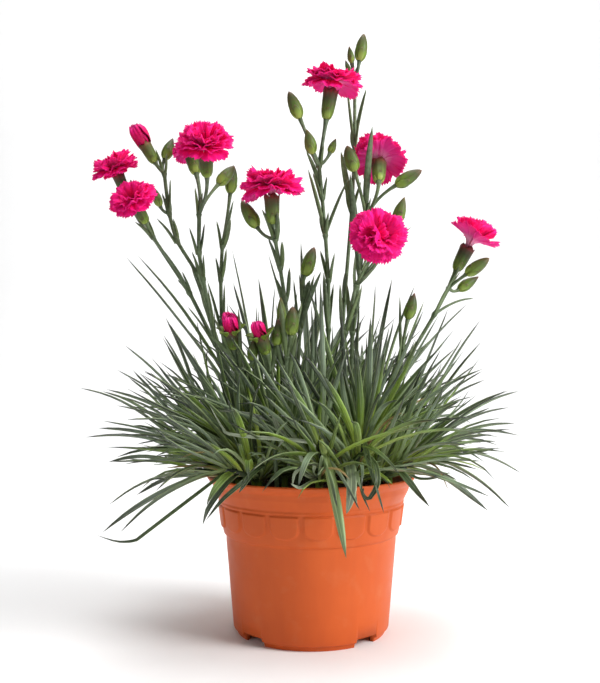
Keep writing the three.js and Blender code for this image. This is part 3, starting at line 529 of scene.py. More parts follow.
def frames_along(line):
    """Place, travel direction and two square directions at each point of a line."""
    first = unit(line[1] - line[0])
    side = point((0, 1, 0)) if abs(first[0]) > 0.8 else point((1, 0, 0))
    frames = []
    for i, place in enumerate(line):
        travel = unit(line[min(i + 1, len(line) - 1)] - line[max(i - 1, 0)])
        side = unit(side - travel * float(side @ travel))
        frames.append((place, travel, side, np.cross(travel, side)))
    return frames


def add_shape(bm, mesh, place, marks):
    """Copies a mesh into a piece. place moves each vertex and says how far along and across the
    shape it is; marks are the other values that the material reads there, tint and shade."""
    first = len(bm.verts)
    bm.from_mesh(mesh)
    bm.verts.ensure_lookup_table()
    layers = [bm.verts.layers.float[name] for name in MARKS]
    for vert in bm.verts[first:]:
        vert.co, *read = place(vert.co)
        for layer, value in zip(layers, (*read, *marks)):
            vert[layer] = value


def plant_mesh():
    """An empty bmesh with the values that the plant's materials read."""
    bm = bmesh.new()
    for name in MARKS:
        bm.verts.layers.float.new(name)
    return bm


def add_tube(bm, line, radii, sides, marks, pointed=False, ripple=None):
    """A round shape along a line, with a radius at each point."""
    frames = frames_along(line)
    last = len(line) - 1

    def place(co):
        ring = round(co.z)
        centre, _, side, square = frames[ring]
        turn = math.atan2(co.y, co.x)
        out = 0 if pointed and ring == last else radii[ring]
        if ripple:
            out = ripple(ring / last, turn, out)
        across = abs((turn / math.pi * sides / 2) % 2 - 1)
        return centre + swung(side, square, turn) * out, ring / last, across
    add_shape(bm, unit_tube(sides, last, pointed), place, marks)


def add_leaf(bm, line, width, marks, sway=0.0, twist=0.0, curl=0.0, ages=(0, 1), facing=None):
    """A narrow channelled leaf with a keel, which clasps its stem and tapers to a fine point. It
    sways to the side and twists, and its end curls up or down. It is pale where it is young."""
    rings = len(line) - 1
    start, tip = line[0], line[-1]
    if facing is None:
        facing = unit(point((-tip[0] * 0.4, -tip[1] * 0.4, 0.9 * length_of(tip - start))))
    frames = []
    for i, (centre, travel, _, _) in enumerate(frames_along(line)):
        s = i / rings
        face = unit(facing - travel * float(facing @ travel))
        side = np.cross(face, travel)
        face, side = swung(face, side, twist * s), swung(side, -face, twist * s)
        centre = centre + side * (sway * math.sin(math.pi * s) * (1 - 0.5 * s))
        frames.append((centre + face * (curl * max(0, s - 0.5) ** 2), face, side))

    def place(co):
        ring = round(co.z)
        s = ring / rings
        centre, face, side = frames[ring]
        if ring == rings:
            return centre, ages[1], 0.0
        half = width * 0.5 * (0.55 + 0.5 * smoothstep(s / 0.3)) * (1 - s ** 5)
        depth = abs(co.x) * (0.7 - 0.32 * s) * half
        if co.y < -0.01:
            depth -= 0.55 + (0.5 * (1 - abs(co.x)) * (1 - s))
        elif co.y < 0.01:
            depth -= 0.2
        return centre + side * (co.x * half) + face * depth, ages[0] + (ages[1] - ages[0]) * s, co.x
    add_shape(bm, unit_tube(8, rings, True), place, marks)


def add_scales(bm, base, axis, side, height, heights, radii, tall, span, draw):
    """Two pairs of short pointed scales that hug a bud or a calyx round its base."""
    square = np.cross(axis, side)

    def radius_at(up):
        return float(np.interp(up / height, heights, radii))
    for number in range(4):
        length = height * (tall[0] + tall[1] * (number % 2) + tall[2] * draw())
        turn = number * math.pi / 2 + 0.3 * draw()

        def place(co):
            s = co.z / SCALE_RINGS
            angle = turn + span * co.x * (1 - s ** 1.6) * (0.75 + 0.5 * s)
            out = radius_at(s * length) + (0.32 if co.y > -0.01 else 0.05) * (1 - 0.5 * s)
            if round(co.z) == SCALE_RINGS:
                angle, out = turn, radius_at(length) + 0.25
            placed = base + swung(side, square, angle) * out + axis * (s * length)
            return placed, 0.15 + 0.5 * s, co.x
        add_shape(bm, unit_tube(8, SCALE_RINGS, True), place, (2, draw()))


def add_stem(bm, corners, draw):
    """The main stem, swollen at its joints, with a clasping pair of small leaves at each."""
    dense = [corners[0]]
    for start, end in zip(corners, corners[1:]):
        steps = max(2, round(length_of(end - start) / 4))
        dense += [start + (end - start) * (k / steps) for k in range(1, steps + 1)]
    for _ in range(3):
        dense = [dense[0]] + [
            before * 0.25 + here * 0.5 + after * 0.25
            for before, here, after in zip(dense, dense[1:], dense[2:])
        ] + [dense[-1]]
    dense = np.array(dense)
    run = np.concatenate([[0], np.cumsum(np.linalg.norm(np.diff(dense, axis=0), axis=1))])
    joints = [run[int(np.argmin(np.linalg.norm(dense - joint, axis=1)))] for joint in corners[2:]]
    stops = set(np.arange(0, run[-1], STEM_STEP)) | {run[-1]}
    stops |= {joint + off for joint in joints for off in JOINT_RINGS}
    stops = [stop for stop in sorted(stops) if 0 <= stop <= run[-1]]
    line = [point([np.interp(stop, run, dense[:, k]) for k in range(3)]) for stop in stops]
    radii = []
    for stop in stops:
        swell = max(math.exp(-((stop - joint) / JOINT_SPREAD) ** 2) for joint in joints)
        radii.append(STEM_RADIUS * (1 - 0.12 * stop / run[-1]) + JOINT_SWELL * swell)
    add_tube(bm, line, radii, 10, (0, draw()))
    for place, travel, side, square in frames_along(corners)[2:]:
        turn = 2 * math.pi * draw()
        for half in (0, math.pi):
            out = swung(side, square, turn + half)
            length = 11 + 9 * draw() + (16 if place[2] < 200 else 0)
            tip = place + travel * length + out * (2.2 + 0.16 * length)
            line = leaf_line(place + out * 0.8 - travel * 1.5, tip, 6)
            add_leaf(bm, line, 2.6 + draw(), (0.15, draw()))


def add_bud(bm, joint, base, tip, width, draw):
    """A side stalk with its closed bud, whose foot is hugged by two pairs of scales."""
    axis, length = unit(tip - base), length_of(tip - base)
    line = stalk_line(joint, base, axis, len(BUD_STALK) - 1)
    add_tube(bm, line, BUD_STALK, 8, (0, draw()))
    radii = [share * width / 2 for share in (RIPE_BUD if width > RIPE_WIDTH else SLENDER_BUD)]
    points = [base + axis * (length * share) for share in BUD_HEIGHTS]
    twist = 6 * draw()

    def seams(s, turn, out):
        return out * (1 + 0.07 * math.cos(5 * turn + twist) * s)
    add_tube(bm, points, radii, 12, (1, draw()), pointed=True, ripple=seams)
    side = frames_along(line)[-1][2]
    side = unit(side - axis * float(side @ axis))
    add_scales(bm, base, axis, side, length, BUD_HEIGHTS, radii, (0.34, 0.12, 0.05), 0.85, draw)


def add_calyx(bm, bloom, draw):
    """A stalk, the ribbed tube with its five teeth that holds a flower, and the scales round it.
    An opening flower with a short barrel also has five green lobes, which stand off round it."""
    base, axis, height = bloom["base"], bloom["axis"], bloom["calyx"]
    line = stalk_line(bloom["joint"], base, axis, len(CALYX_STALK) - 1)
    add_tube(bm, line, CALYX_STALK, 8, (0, draw()))
    radii = [radius * (0.86 if height < SHORT_CALYX else 1) for radius in CALYX_RADII]
    points = [base + axis * (height * share) for share in CALYX_HEIGHTS]
    side, square = frames_along([base, base + axis])[0][2:]

    def place(co):
        ring = round(co.z)
        turn = math.atan2(co.y, co.x)
        tooth = abs(math.cos(CALYX_TEETH / 2 * turn)) ** 1.3
        out = radii[ring] * (1 + 0.02 * math.cos(CALYX_RIBS / 2 * turn))
        lift = {CALYX_RIM: 2.2, CALYX_RIM + 1: 1.4}.get(ring, 0) * tooth
        along = min(1, ring / CALYX_RIM)
        if ring == CALYX_RIM:
            lift, along = lift - 0.6, along + 0.25 * tooth
        across = abs((turn / math.pi * CALYX_RIBS / 2) % 2 - 1)
        return points[ring] + swung(side, square, turn) * out + axis * lift, along, across
    add_shape(bm, unit_tube(CALYX_RIBS, len(radii) - 1, False), place, (1, draw()))

    if bloom.get("barrel", LONG_BARREL) < LONG_BARREL:
        for number in range(CALYX_TEETH):
            out = swung(side, square, math.pi * (0.4 * number + 0.1))
            foot = base + axis * (height * CALYX_HEIGHTS[6]) + out * (radii[6] - 0.4)
            lobe = leaf_line(foot, foot + axis * 3.4 + out * 5.6, 5, 0.3)
            add_leaf(bm, lobe, 4.6, (1, draw()), ages=(0.06, 0.5), facing=axis)
    rim = CALYX_RIM + 1
    add_scales(
        bm, base, axis, side, height, CALYX_HEIGHTS[:rim], radii[:rim], (0.26, 0.1, 0.04), 0.8,
        draw)


def marks_read(finish):
    """The values that the mesh holds at each vertex, in the order of their names."""
    return [finish.node("Attribute", {}, attribute_name=name).outputs["Fac"] for name in MARKS]


green = Finish("waxy_green", Specular_IOR_Level=0.3)
green_along, green_ribs, green_tint, green_shade = marks_read(green)
green_cloud = green.speckle(green.place(), 420)
stalk_colour = green.ramp(green_cloud, (0.3, (70, 84, 62)), (0.7, (104, 120, 94)))
bud_colour = green.ramp(
    green_along, (0.0, (140, 164, 66)), (0.24, (116, 146, 46)), (0.5, (80, 106, 40)),
    (0.7, (56, 68, 38)), (0.86, (84, 56, 44)), (1.0, (124, 54, 56)))
bud_dull = green.ramp(green_cloud, (0.45, 0), (0.7, 0.7))
bud_colour = green.coat(bud_colour, bud_dull, (84, 64, 46))
bud_seams = green.ramp(green_ribs, (0.7, 0), (1.0, 0.6))
bud_colour = green.coat(bud_colour, bud_seams, (62, 66, 38))
scale_colour = green.ramp(
    green_along, (0.15, (160, 178, 88)), (0.38, (120, 144, 58)), (0.54, (76, 84, 46)),
    (0.63, (88, 60, 44)))
green_colour = green.coat(stalk_colour, green_tint, bud_colour)
scale_mark = green.sum_of("SUBTRACT", green_tint, 1.0)
green_colour = green.coat(green_colour, scale_mark, scale_colour)
green_fresh = green.ramp(green_shade, (0, 0), (1, 0.2))
green_colour = green.coat(green_colour, green_fresh, (132, 152, 70))
green_rough = green.ramp(green_cloud, (0.3, 0.42), (0.7, 0.58))
green.feed(green_colour, green_rough, green.sum_of("ADD", green_ribs, green_cloud), 0.35, 0.00025)
for index, stem in enumerate(FLOWER_STEMS):
    draw = random_draws(STEM_SEED + index)
    bm = plant_mesh()
    add_stem(bm, stem["line"], draw)
    for bloom in stem["blooms"]:
        add_calyx(bm, bloom, draw)
    for bud in stem["buds"]:
        add_bud(bm, *bud, draw)
    for joint, tip, width in stem["leaves"]:
        line = leaf_line(joint, tip, 11)
        add_leaf(bm, line, width, (0, draw()), sway=1.2 * (draw() - 0.5))
    bmesh.ops.recalc_face_normals(bm, faces=bm.faces)
    number = f"{index + 1:02d}"
    finished_piece(f"jointed_stem_{number}", bm, [green], "stem", f"flower_stem_{number}")

# ---- Leafy tufts --------------------------------------------------------------------------------
# Short shoots crowded with pairs of narrow grey-green leaves. Each stands in the compost at its
# root and leans off by an azimuth and a height above level. Its outermost leaves end at given
# tips, and a seeded rule fills in the others, clear of everything that already has its place.
LEAFY_SHOOTS = [
    ((-24, 26), (172, 60), 9, [(-127, 30, 236), (-106, 22, 234), (-104, 36, 217), (-49, 30, 242)]),
    ((-47, 12), (174, 42), 9,
     [(-92, 20, 197), (-90, 4, 185), (-98, 24, 178), (-113, 12, 177), (-124, 8, 161)]),
    ((-49, -4), (182, 20), 8,
     [(-138, -25, 154), (-129, -14, 151), (-118, 2, 157), (-112, -6, 160), (-137, -20, 121),
      (-126, -30, 126)]),
    ((-44, -23), (200, 6), 8,
     [(-122, -22, 108), (-116, -34, 106), (-119, -44, 86), (-104, -30, 88), (-92, -38, 86)]),
    ((-31, -39), (228, 14), 7, [(-110, -56, 72), (-122, -50, 67), (-58, -88, 91), (-61, -80, 79)]),
    ((4, -48), (270, 60), 7,
     [(18, -84, 62), (12, -88, 90), (25, -86, 88), (-8, -120, 106), (-34, -104, 112)]),
    ((24, -42), (292, 60), 7, [(36, -88, 86), (44, -98, 108), (20, -100, 138)]),
    ((38, -31), (322, 18), 7, [(102, -40, 80), (81, -58, 100), (96, -52, 108), (62, -76, 88)]),
    ((48, -9), (345, 20), 8, [(121, -20, 79), (113, -14, 118), (105, -32, 112), (95, -26, 110)]),
    ((49, 6), (3, 22), 9,
     [(138, 20, 95), (130, 8, 128), (130, 0, 150), (120, -10, 141), (108, -18, 138),
      (106, -4, 117)]),
    ((44, 20), (12, 44), 8, [(112, 16, 156), (104, 6, 166), (102, 14, 181), (90, 24, 201)]),
    ((30, 32), (32, 62), 8, [(104, 34, 206), (66, 16, 217), (56, 28, 224)]),
    ((-16, -20), (205, 72), 8, [(-46, -34, 214), (-30, -46, 216)]),
    ((1, 11), (110, 84), 7, [(-27, 6, 236), (-7, 14, 248)]),
    ((-8, 34), (100, 64), 8, [(-20, 60, 226), (10, 70, 214)]),
    ((12, 44), (74, 34), 7, [(30, 112, 150), (50, 98, 130)]),
    ((-30, 39), (132, 34), 7, [(-84, 92, 140), (-100, 72, 122)]),
    ((-10, 48), (98, 22), 7, [(4, 120, 110), (-30, 112, 96)]),
    ((26, -24), (312, 60), 8, [(64, -54, 196), (46, -66, 190)]),
    ((-34, -24), (216, 52), 8, [(-84, -46, 190), (-72, -60, 176)]),
]
SHOOT_RADIUS, SHOOT_BEND, SHOOT_LENGTH = 2.1, 11, 27
SHOOT_RADII = [2.1, 2.1, 2.1, 2.05, 2.0, 1.9, 1.8, 1.4]
LEAF_WIDTH, LEAF_LENGTH, LEAF_FREE, LEAF_SEED, LONGEST_HANGS_TO = 4.8, 112, 18, 20, 65
PAIR_LOWEST, LEAF_SAG = 0.08, 0.12
PAIR_TRIES, FILLER_TRIES, FILLER_SEED, TUFT_SEED, STEM_OWNER = 40, 14, 77, 900, 100
MOUND_ACROSS, MOUND_DEEP, MOUND_FLATNESS, MOUND_WAIST, MOUND_DOME = 131, 116, 0.77, 120, 118
MOUND_LOWEST, HANG_FREE, FACE_HALF, POT_FREE = 94, 100, 70, 58
RIM_RADIUS, RIM_TOP, POT_WALL, BAND_RAISE, CLEAR = 65, 97, 1.8, 0.9, 0.75
POT_FLOOR, FLARE_FOOT = 8, 85
WALL_OUTSIDE = [
    (46, 0), (46.4, 2.6), (48.3, 3.4), (52.8, 56), (53, 59.6), (55.2, 65.2), (57.1, 79.6),
    (57.9, 80.8), (57.5, 82), (60.6, 88), (61.4, 92), (65, 96), (64.2, 97),
]
FILLER_LEAVES, LOW_LEAVES, STRAY_SHADE, FRESH_SHADE = 34, 28, 0.165, 0.53
# The owner's number, the width, the paleness and the course of each stray or hanging leaf.
STRAY_LEAVES = [
    (6, 6, 0.25, [(20, -50, 110), (21, -64, 107), (21, -75, 100), (20, -79, 92), (18, -80, 85)]),
    (6, 2.8, 0.25, [(20, -56, 106), (22, -73, 98), (24, -79, 88)]),
    (6, 1.6, 0, [(26, -64, 102), (27, -75, 95), (31, -79, 86)]),
    (6, 3.0, 0, [
        (23, -50, 109), (28, -58, 115), (34, -70, 111), (35, -77, 104), (34, -79, 99),
        (30, -79, 93), (27, -78, 96), (28, -75, 99),
    ]),
    (6, 3.0, 0.2, [(16, -48, 108), (12, -54, 115), (6, -60, 124), (1, -64, 133), (-1, -66, 138)]),
    (5, 2.4, 0.45, [
        (3, -56, 113), (1, -64, 120), (-5, -68, 123), (-24, -72, 125), (-45, -70, 127),
        (-50, -66, 131), (-59, -60, 145),
    ]),
    (12, 3.4, 0.1, [
        (-14, -34, 118), (-16, -46, 130), (-25, -54, 134), (-39, -60, 138), (-55, -62, 140)]),
    (12, 3.2, 0.35, [
        (-12, -45, 111), (-14, -54, 121), (-20, -60, 131), (-22, -62, 137), (-25, -63, 137)]),
    (4, 2.8, 0, [(-28, -54, 108), (-38, -72, 101), (-49, -76, 92), (-58, -77, 81)]),
    (4, 3.4, 0, [(-34, -66, 104), (-40, -77, 96)]),
    (4, 2.1, 0, [
        (-40, -50, 110), (-59, -60, 97), (-78, -66, 83), (-95, -66, 70), (-98, -65, 68),
        (-103, -64, 67), (-110, -62, 67), (-121, -60, 70),
    ]),
    (8, 2.0, 0.1, [(53, -26, 104), (61, -38, 99), (70, -46, 100), (79, -50, 104)]),
    (8, 1.4, 0.9, [(52, -30, 105), (62, -38, 109), (72, -46, 106), (78, -52, 93)]),
    (5, 2.2, 0.45, [(-3, -60, 103), (-7, -66, 107), (-10, -70, 105), (-11, -72, 99)]),
    (5, 2.0, 0.42, [(1, -58, 105), (1, -64, 112), (-3, -68, 114), (-7, -70, 112)]),
    (5, 2.0, 0.45, [(6, -62, 107), (10, -68, 106), (9, -72, 101)]),
    (5, 2.2, 0.42, [(-2, -62, 99), (-7, -72, 98), (-12, -75, 101)]),
    (5, 2.4, 0.42, [(-4, -60, 107), (-8, -66, 117), (-15, -70, 124), (-19, -72, 120)]),
]
BALLS_AT_MOST = 90000
taken = np.zeros((BALLS_AT_MOST, 6))
taken_count = 0


class Shoot:
    """Where one leafy shoot stands and leans, and its leaves that have found their place."""

    def __init__(self, number, root, lean_angles, leaves, tips):
        azimuth, height = (math.radians(angle) for angle in lean_angles)
        self.number, self.leaves, self.tips, self.placed = number, leaves, tips, []
        self.lean = swung(point((math.cos(azimuth), math.sin(azimuth), 0)), UP, height)
        self.side = unit(np.cross(self.lean, UP))
        self.square = np.cross(self.side, self.lean)
        self.foot = point((*root, STEM_FOOT))
        self.bend = point((*root, SOIL_TOP + SHOOT_BEND))
        self.top = self.at(1)

    def at(self, level):
        """A place on the leaning part, from its bend to its top."""
        return self.bend + self.lean * (SHOOT_LENGTH * level)

    def leaf_tip(self, start, turn, splay, length, sag):
        """Where a leaf ends that goes off at a turn round the shoot, splays from it and sags."""
        aim = swung(self.lean, swung(self.side, self.square, turn), splay)
        tip = start + aim * length
        tip[2] -= sag * length * math.hypot(aim[0], aim[1])
        return tip


def wall_radius(height):
    above = next(i for i, (_, z) in enumerate(WALL_OUTSIDE) if i > 0 and z >= height)
    r1, z1 = WALL_OUTSIDE[above]
    r0, z0 = WALL_OUTSIDE[above - 1]
    return r0 + (r1 - r0) * (height - z0) / (z1 - z0)


def take_ball(owner, place, radius, free=0):
    global taken_count
    taken[taken_count] = (*place, radius, owner, free)
    taken_count += 1


def take_line(owner, line, radius):
    for i, end in enumerate(line):
        start = line[max(i - 1, 0)]
        steps = max(1, math.ceil(length_of(end - start) / 3))
        for k in range(1, steps + 1):
            take_ball(owner, start + (end - start) * (k / steps), radius)


def take_stem(owner, stem):
    """What a flower stem takes up: its joints, stalks, flowers, buds and leaves."""
    take_line(owner, stem["line"], JOINT_RADIUS)
    for bloom in stem["blooms"]:
        base, throat, reach = bloom["base"], bloom["throat"], bloom["reach"]
        take_line(owner, stalk_line(bloom["joint"], base, bloom["axis"]), STEM_RADIUS)
        take_line(owner, [base, throat], CALYX_MOUTH)
        take_line(owner, [throat + bloom["axis"] * (reach * 0.25)], reach)
    for joint, base, tip, width in stem["buds"]:
        take_line(owner, stalk_line(joint, base, unit(tip - base)), STEM_RADIUS)
        take_line(owner, [base, tip], width / 2)
    for joint, tip, width in stem["leaves"]:
        take_line(owner, leaf_line(joint, tip, 8), width / 2)


def clear_of_pot(place, radius):
    """True off the compost and on one side of the pot's wall."""
    across, z = math.hypot(place[0], place[1]), place[2]
    if z < SOIL_TOP + SOIL_CROWN + radius + CLEAR and across < wall_radius(SOIL_TOP):
        return False
    if z >= RIM_TOP + radius + CLEAR:
        return True
    outside = wall_radius(max(z - radius, POT_FLOOR)) if z < RIM_TOP else RIM_RADIUS
    outside = max(outside, RIM_RADIUS if z > FLARE_FOOT else 0) + BAND_RAISE + radius + CLEAR
    return across < wall_radius(SOIL_TOP) - POT_WALL - radius - CLEAR or across > outside


def clear_of_plant(owner, line, radii, frees, gap):
    """True where no ball of the line meets a ball of another shoot or stem, nor, once it is free
    of its own shoot's base, one of that shoot's other leaves."""
    others = taken[:taken_count]
    low, high = np.min(line, axis=0) - 25, np.max(line, axis=0) + 25
    others = others[np.all((others[:, :3] > low) & (others[:, :3] < high), axis=1)]
    away = others[None, :, :3] - np.array(line)[:, None, :]
    squares = away * away
    squares = squares[..., 0] + squares[..., 1] + squares[..., 2]
    reach = others[None, :, 3] + np.array(radii)[:, None] + gap
    free = np.array(frees, bool)[:, None] & (others[None, :, 5] > 0.5)
    joins = (others[None, :, 4] == owner) & ~free
    return bool(np.all(joins | (squares > reach * reach)))


def place_leaf(shoot, start, tip, width, gap=CLEAR, arch=0.17, young=1.0):
    """Gives a leaf its place if its whole line is clear, and says whether it did."""
    line = leaf_line(start, tip, math.ceil(length_of(tip - start) / 4), arch)
    radii = [width * 0.5 * min(1, 1.25 - i / len(line)) for i in range(len(line))]
    frees = [length_of(place - start) > LEAF_FREE for place in line]
    if not all(clear_of_pot(place, radius) for place, radius in zip(line, radii)):
        return False
    if not clear_of_plant(shoot.number, line, radii, frees, gap):
        return False
    for place, radius, free in zip(line, radii, frees):
        take_ball(shoot.number, place, radius, free)
    shoot.placed.append((start, tip, width, arch, young))
    return True


def is_in_mound(tip, share=1.0):
    """The mound is oval from above and domed, and no leaf of it hangs before the pot's face."""
    rise = max(0, tip[2] - MOUND_WAIST) * MOUND_ACROSS / MOUND_DOME
    away = math.hypot(tip[0], MOUND_FLATNESS * tip[1], rise)
    inside = away < MOUND_ACROSS * share and abs(tip[1]) < MOUND_DEEP * share
    before_face = tip[1] < 0 and abs(tip[0]) < FACE_HALF and tip[2] < HANG_FREE
    return inside and not before_face and tip[2] > MOUND_LOWEST


def place_tip_leaves(shoot):
    for i, tip in enumerate(shoot.tips):
        start = shoot.at(1 - 0.6 * i / len(shoot.tips))
        for shift in range(0, 31, 6):
            back, front = point(tip) + (0, shift, 0), point(tip) + (0, -shift, 0)
            if any(place_leaf(shoot, start, end, LEAF_WIDTH) for end in (back, front)):
                break


def place_paired_leaf(shoot, number, draw):
    """One leaf of the pairs, each of which stands square to the pair below it."""
    level = number / shoot.leaves
    start = shoot.at(PAIR_LOWEST + (1 - PAIR_LOWEST) * level)
    for attempt in range(PAIR_TRIES):
        turn = math.radians(180 * number + 90 * (number // 2) + (draw() - 0.5) * (30 + 6 * attempt))
        splay = math.radians(46 - 32 * level + (draw() - 0.5) * (14 + attempt))
        length = LEAF_LENGTH * (1 - 0.28 * draw())
        width = LEAF_WIDTH * (1 - 0.2 * draw())
        tip = shoot.leaf_tip(start, turn, splay, length, LEAF_SAG)
        if is_in_mound(tip) and place_leaf(shoot, start, tip, width):
            return


def place_filler_leaf(shoot, draw):
    """One of the many slimmer leaves between the main pairs, some short, stiff or drooping."""
    for _ in range(FILLER_TRIES):
        level = draw()
        turn = 2 * math.pi * draw()
        splay = math.radians(50 - 38 * level + 24 * (draw() - 0.5))
        length = LEAF_LENGTH * (0.5 + 0.5 * draw())
        width = LEAF_WIDTH * (0.42 + 0.3 * draw())
        start, sag = shoot.at(level), 0.1 + 0.25 * draw() * (1 - level)
        tip = shoot.leaf_tip(start, turn, splay, length, sag)
        arch = 0.05 + 0.22 * draw()
        share = 0.7 + 0.28 * draw()
        if is_in_mound(tip, share) and place_leaf(shoot, start, tip, width, 0.1, arch):
            return


def place_low_leaf(shoot, draw):
    """One of the short leaves that come off a shoot's foot, close over the compost."""
    for _ in range(FILLER_TRIES):
        start = shoot.bend - UP * (SHOOT_BEND - 6) * draw()
        turn = 2 * math.pi * draw()
        height = math.radians(4 + 68 * draw())
        length = 20 + 50 * draw()
        width = LEAF_WIDTH * (0.3 + 0.24 * draw())
        tip = start + swung(point((math.cos(turn), math.sin(turn), 0)), UP, height) * length
        arch = 0.1 + 0.25 * draw()
        over_pot = math.hypot(tip[0], tip[1]) < POT_FREE and tip[2] > MOUND_LOWEST
        if (over_pot or is_in_mound(tip)) and place_leaf(shoot, start, tip, width, 0, arch, 0.4):
            return


shoots = [Shoot(number, *row) for number, row in enumerate(LEAFY_SHOOTS)]
for index, stem in enumerate(FLOWER_STEMS):
    take_stem(STEM_OWNER + index, stem)
for shoot in shoots:
    take_line(shoot.number, [shoot.bend, shoot.top], SHOOT_RADIUS)
for shoot in shoots:
    place_tip_leaves(shoot)
draw = random_draws(LEAF_SEED)
for number in range(max(shoot.leaves for shoot in shoots)):
    for shoot in shoots:
        if number < shoot.leaves - len(shoot.tips):
            place_paired_leaf(shoot, number, draw)
main_leaves = [len(shoot.placed) for shoot in shoots]
draw = random_draws(FILLER_SEED)
for number in range(FILLER_LEAVES):
    for shoot in shoots:
        place_filler_leaf(shoot, draw)
        if number < LOW_LEAVES:
            place_low_leaf(shoot, draw)


def curve_through(stops, steps):
    """Points on a smooth curve through the given ones."""
    ends = [stops[0] * 2 - stops[1], *stops, stops[-1] * 2 - stops[-2]]
    line = []
    for k in range(steps + 1):
        t = k / steps * (len(stops) - 1)
        i = min(int(t), len(stops) - 2)
        t -= i
        a, b, c, d = ends[i:i + 4]
        line.append(
            b + (c - a) * (t / 2) + (a * 2 - b * 5 + c * 4 - d) * (t * t / 2)
            + (b * 3 - a - c * 3 + d) * (t ** 3 / 2))
    return line


blade = Finish("glaucous_leaf", Specular_IOR_Level=0.5)
blade_along, blade_across, blade_tint, blade_shade = marks_read(blade)
blade_wax = blade.speckle(blade.place(), 260, 4)
blade_mixed = blade.sum_of("FRACT", blade.sum_of("MULTIPLY", blade_shade, 7.3))
blade_ripe = blade.ramp(blade_mixed, (0.0, 1.0), (0.55, 0.9), (0.8, 0.5))
blade_colour = blade.ramp(
    blade.sum_of("MULTIPLY", blade_along, blade_ripe), (0.0, (200, 214, 104)),
    (0.1, (170, 194, 72)), (0.28, (132, 164, 56)), (0.5, (96, 122, 62)), (0.9, (76, 94, 62)))
blade_cool = blade.ramp(
    blade_along, (0.0, (176, 194, 116)), (0.2, (150, 170, 130)), (0.6, (146, 164, 142)),
    (0.88, (104, 120, 106)))
blade_waxed = blade.ramp(blade_shade, (0.3, 0), (0.7, 0.9))
blade_colour = blade.coat(blade_colour, blade_waxed, blade_cool)
# Darker towards the tip, to near black: partly the leaves' own darker tips and partly painted
# shade.
blade_dark_tip_and_painted_shade = blade.ramp(blade_along, (0.62, 0), (0.9, 0.88))
blade_colour = blade.coat(blade_colour, blade_dark_tip_and_painted_shade, (40, 47, 36))
blade_depth = blade.ramp(blade_mixed, (0.0, 0.26), (0.35, 0.68), (0.7, 1.0))
blade_colour = blade.coat(blade_colour, 1.0, blade_depth, "MULTIPLY")
blade_pale = blade.ramp(blade_tint, (0.45, (206, 216, 188)), (0.9, (164, 126, 78)))
blade_faded = blade.ramp(blade_tint, (0.0, 0), (0.5, 0.8), (1.0, 0.95))
blade_colour = blade.coat(blade_colour, blade_faded, blade_pale)
blade_bloom = blade.ramp(blade_wax, (0.4, 0), (0.75, 0.25))
blade_colour = blade.coat(blade_colour, blade_bloom, (136, 154, 126))
blade_rib = blade.sum_of("ABSOLUTE", blade_across)
# Painted shade: the leaf is darker in its channel either side of the midrib, where the groove is
# shaded.
blade_painted_groove_shade = blade.ramp(blade_rib, (0.08, 1.0), (0.2, 0.6), (0.6, 0.8), (0.8, 1.0))
blade_colour = blade.coat(blade_colour, 1.0, blade_painted_groove_shade, "MULTIPLY")
# Paler midrib and margins: partly the leaf's own pale rim and partly a painted highlight along its
# edges and keel.
blade_pale_edge_and_painted_highlight = blade.ramp(blade_rib, (0.0, 0.4), (0.1, 0.0), (0.8, 0.0), (0.95, 0.5))
blade_colour = blade.coat(blade_colour, blade_pale_edge_and_painted_highlight, (176, 194, 132))
blade_veins = blade.sum_of("SINE", blade.sum_of("MULTIPLY", blade_across, 19.0))
blade_rough = blade.ramp(blade_wax, (0.3, 0.36), (0.7, 0.5))
blade.feed(blade_colour, blade_rough, blade_veins, 0.3, 0.0001)
for shoot, mains in zip(shoots, main_leaves):
    draw = random_draws(TUFT_SEED + shoot.number)
    bm = plant_mesh()
    rise = shoot.bend - shoot.foot
    middle = arc(shoot.foot + rise * 0.85, shoot.bend, shoot.top, 5)
    add_tube(bm, [shoot.foot, shoot.foot + rise * 0.6, *middle], SHOOT_RADII, 10, (0, 0.2))
    for count, (start, tip, width, arch, young) in enumerate(shoot.placed):
        withered = 0.9 if young < 1 and draw() > 0.94 else 0
        shade = draw()
        slim, loose, steps = (0.8, 3, 11) if count < mains else (1, 8, 6)
        if tip[2] < LONGEST_HANGS_TO:
            slim, loose, young, shade = 1.3, 1, 0.74, FRESH_SHADE
        sway, twist, curl = loose * (draw() - 0.5), 1.4 * (draw() - 0.5), 9 * loose * (draw() - 0.5)
        line = leaf_line(start, tip, steps, arch)
        add_leaf(bm, line, width * slim, (withered, shade), sway, twist, curl, (0, young))
    for owner, width, pale, stops in STRAY_LEAVES:
        if owner == shoot.number:
            line = curve_through([shoot.bend] + [point(stop) for stop in stops], 18)
            marks = (pale, draw() if pale else STRAY_SHADE)
            add_leaf(bm, line, width, marks, ages=(0.35, 0.95), facing=point((0.1, -0.8, 0.6)))
    bmesh.ops.recalc_face_normals(bm, faces=bm.faces)
    number = f"{shoot.number + 1:02d}"
    finished_piece(f"leafy_tuft_{number}", bm, [blade], "leaf", f"leafy_shoot_{number}")

# ---- Blooms -------------------------------------------------------------------------------------
# Half-double flowers of thin silky petals. Each petal rises on a narrow claw out of its calyx and
# spreads into a ruffled fan with a toothed edge, in layers that stand steeper towards the middle.
# Three flowers are only opening, and their petals are still rolled round each other.
PETAL_ACROSS, PETAL_ALONG, PETAL_STEPS, PETAL_THICK = 24, 8, 24, 0.3
CLAW_OUT, CLAW_DEEP, ROLL_OUT, ROLLED_PETALS = 1.7, 3, 2.0, 12
EYES_WITHIN, STEEPEST, BLOOM_SEED = 0.6, 80, 1300
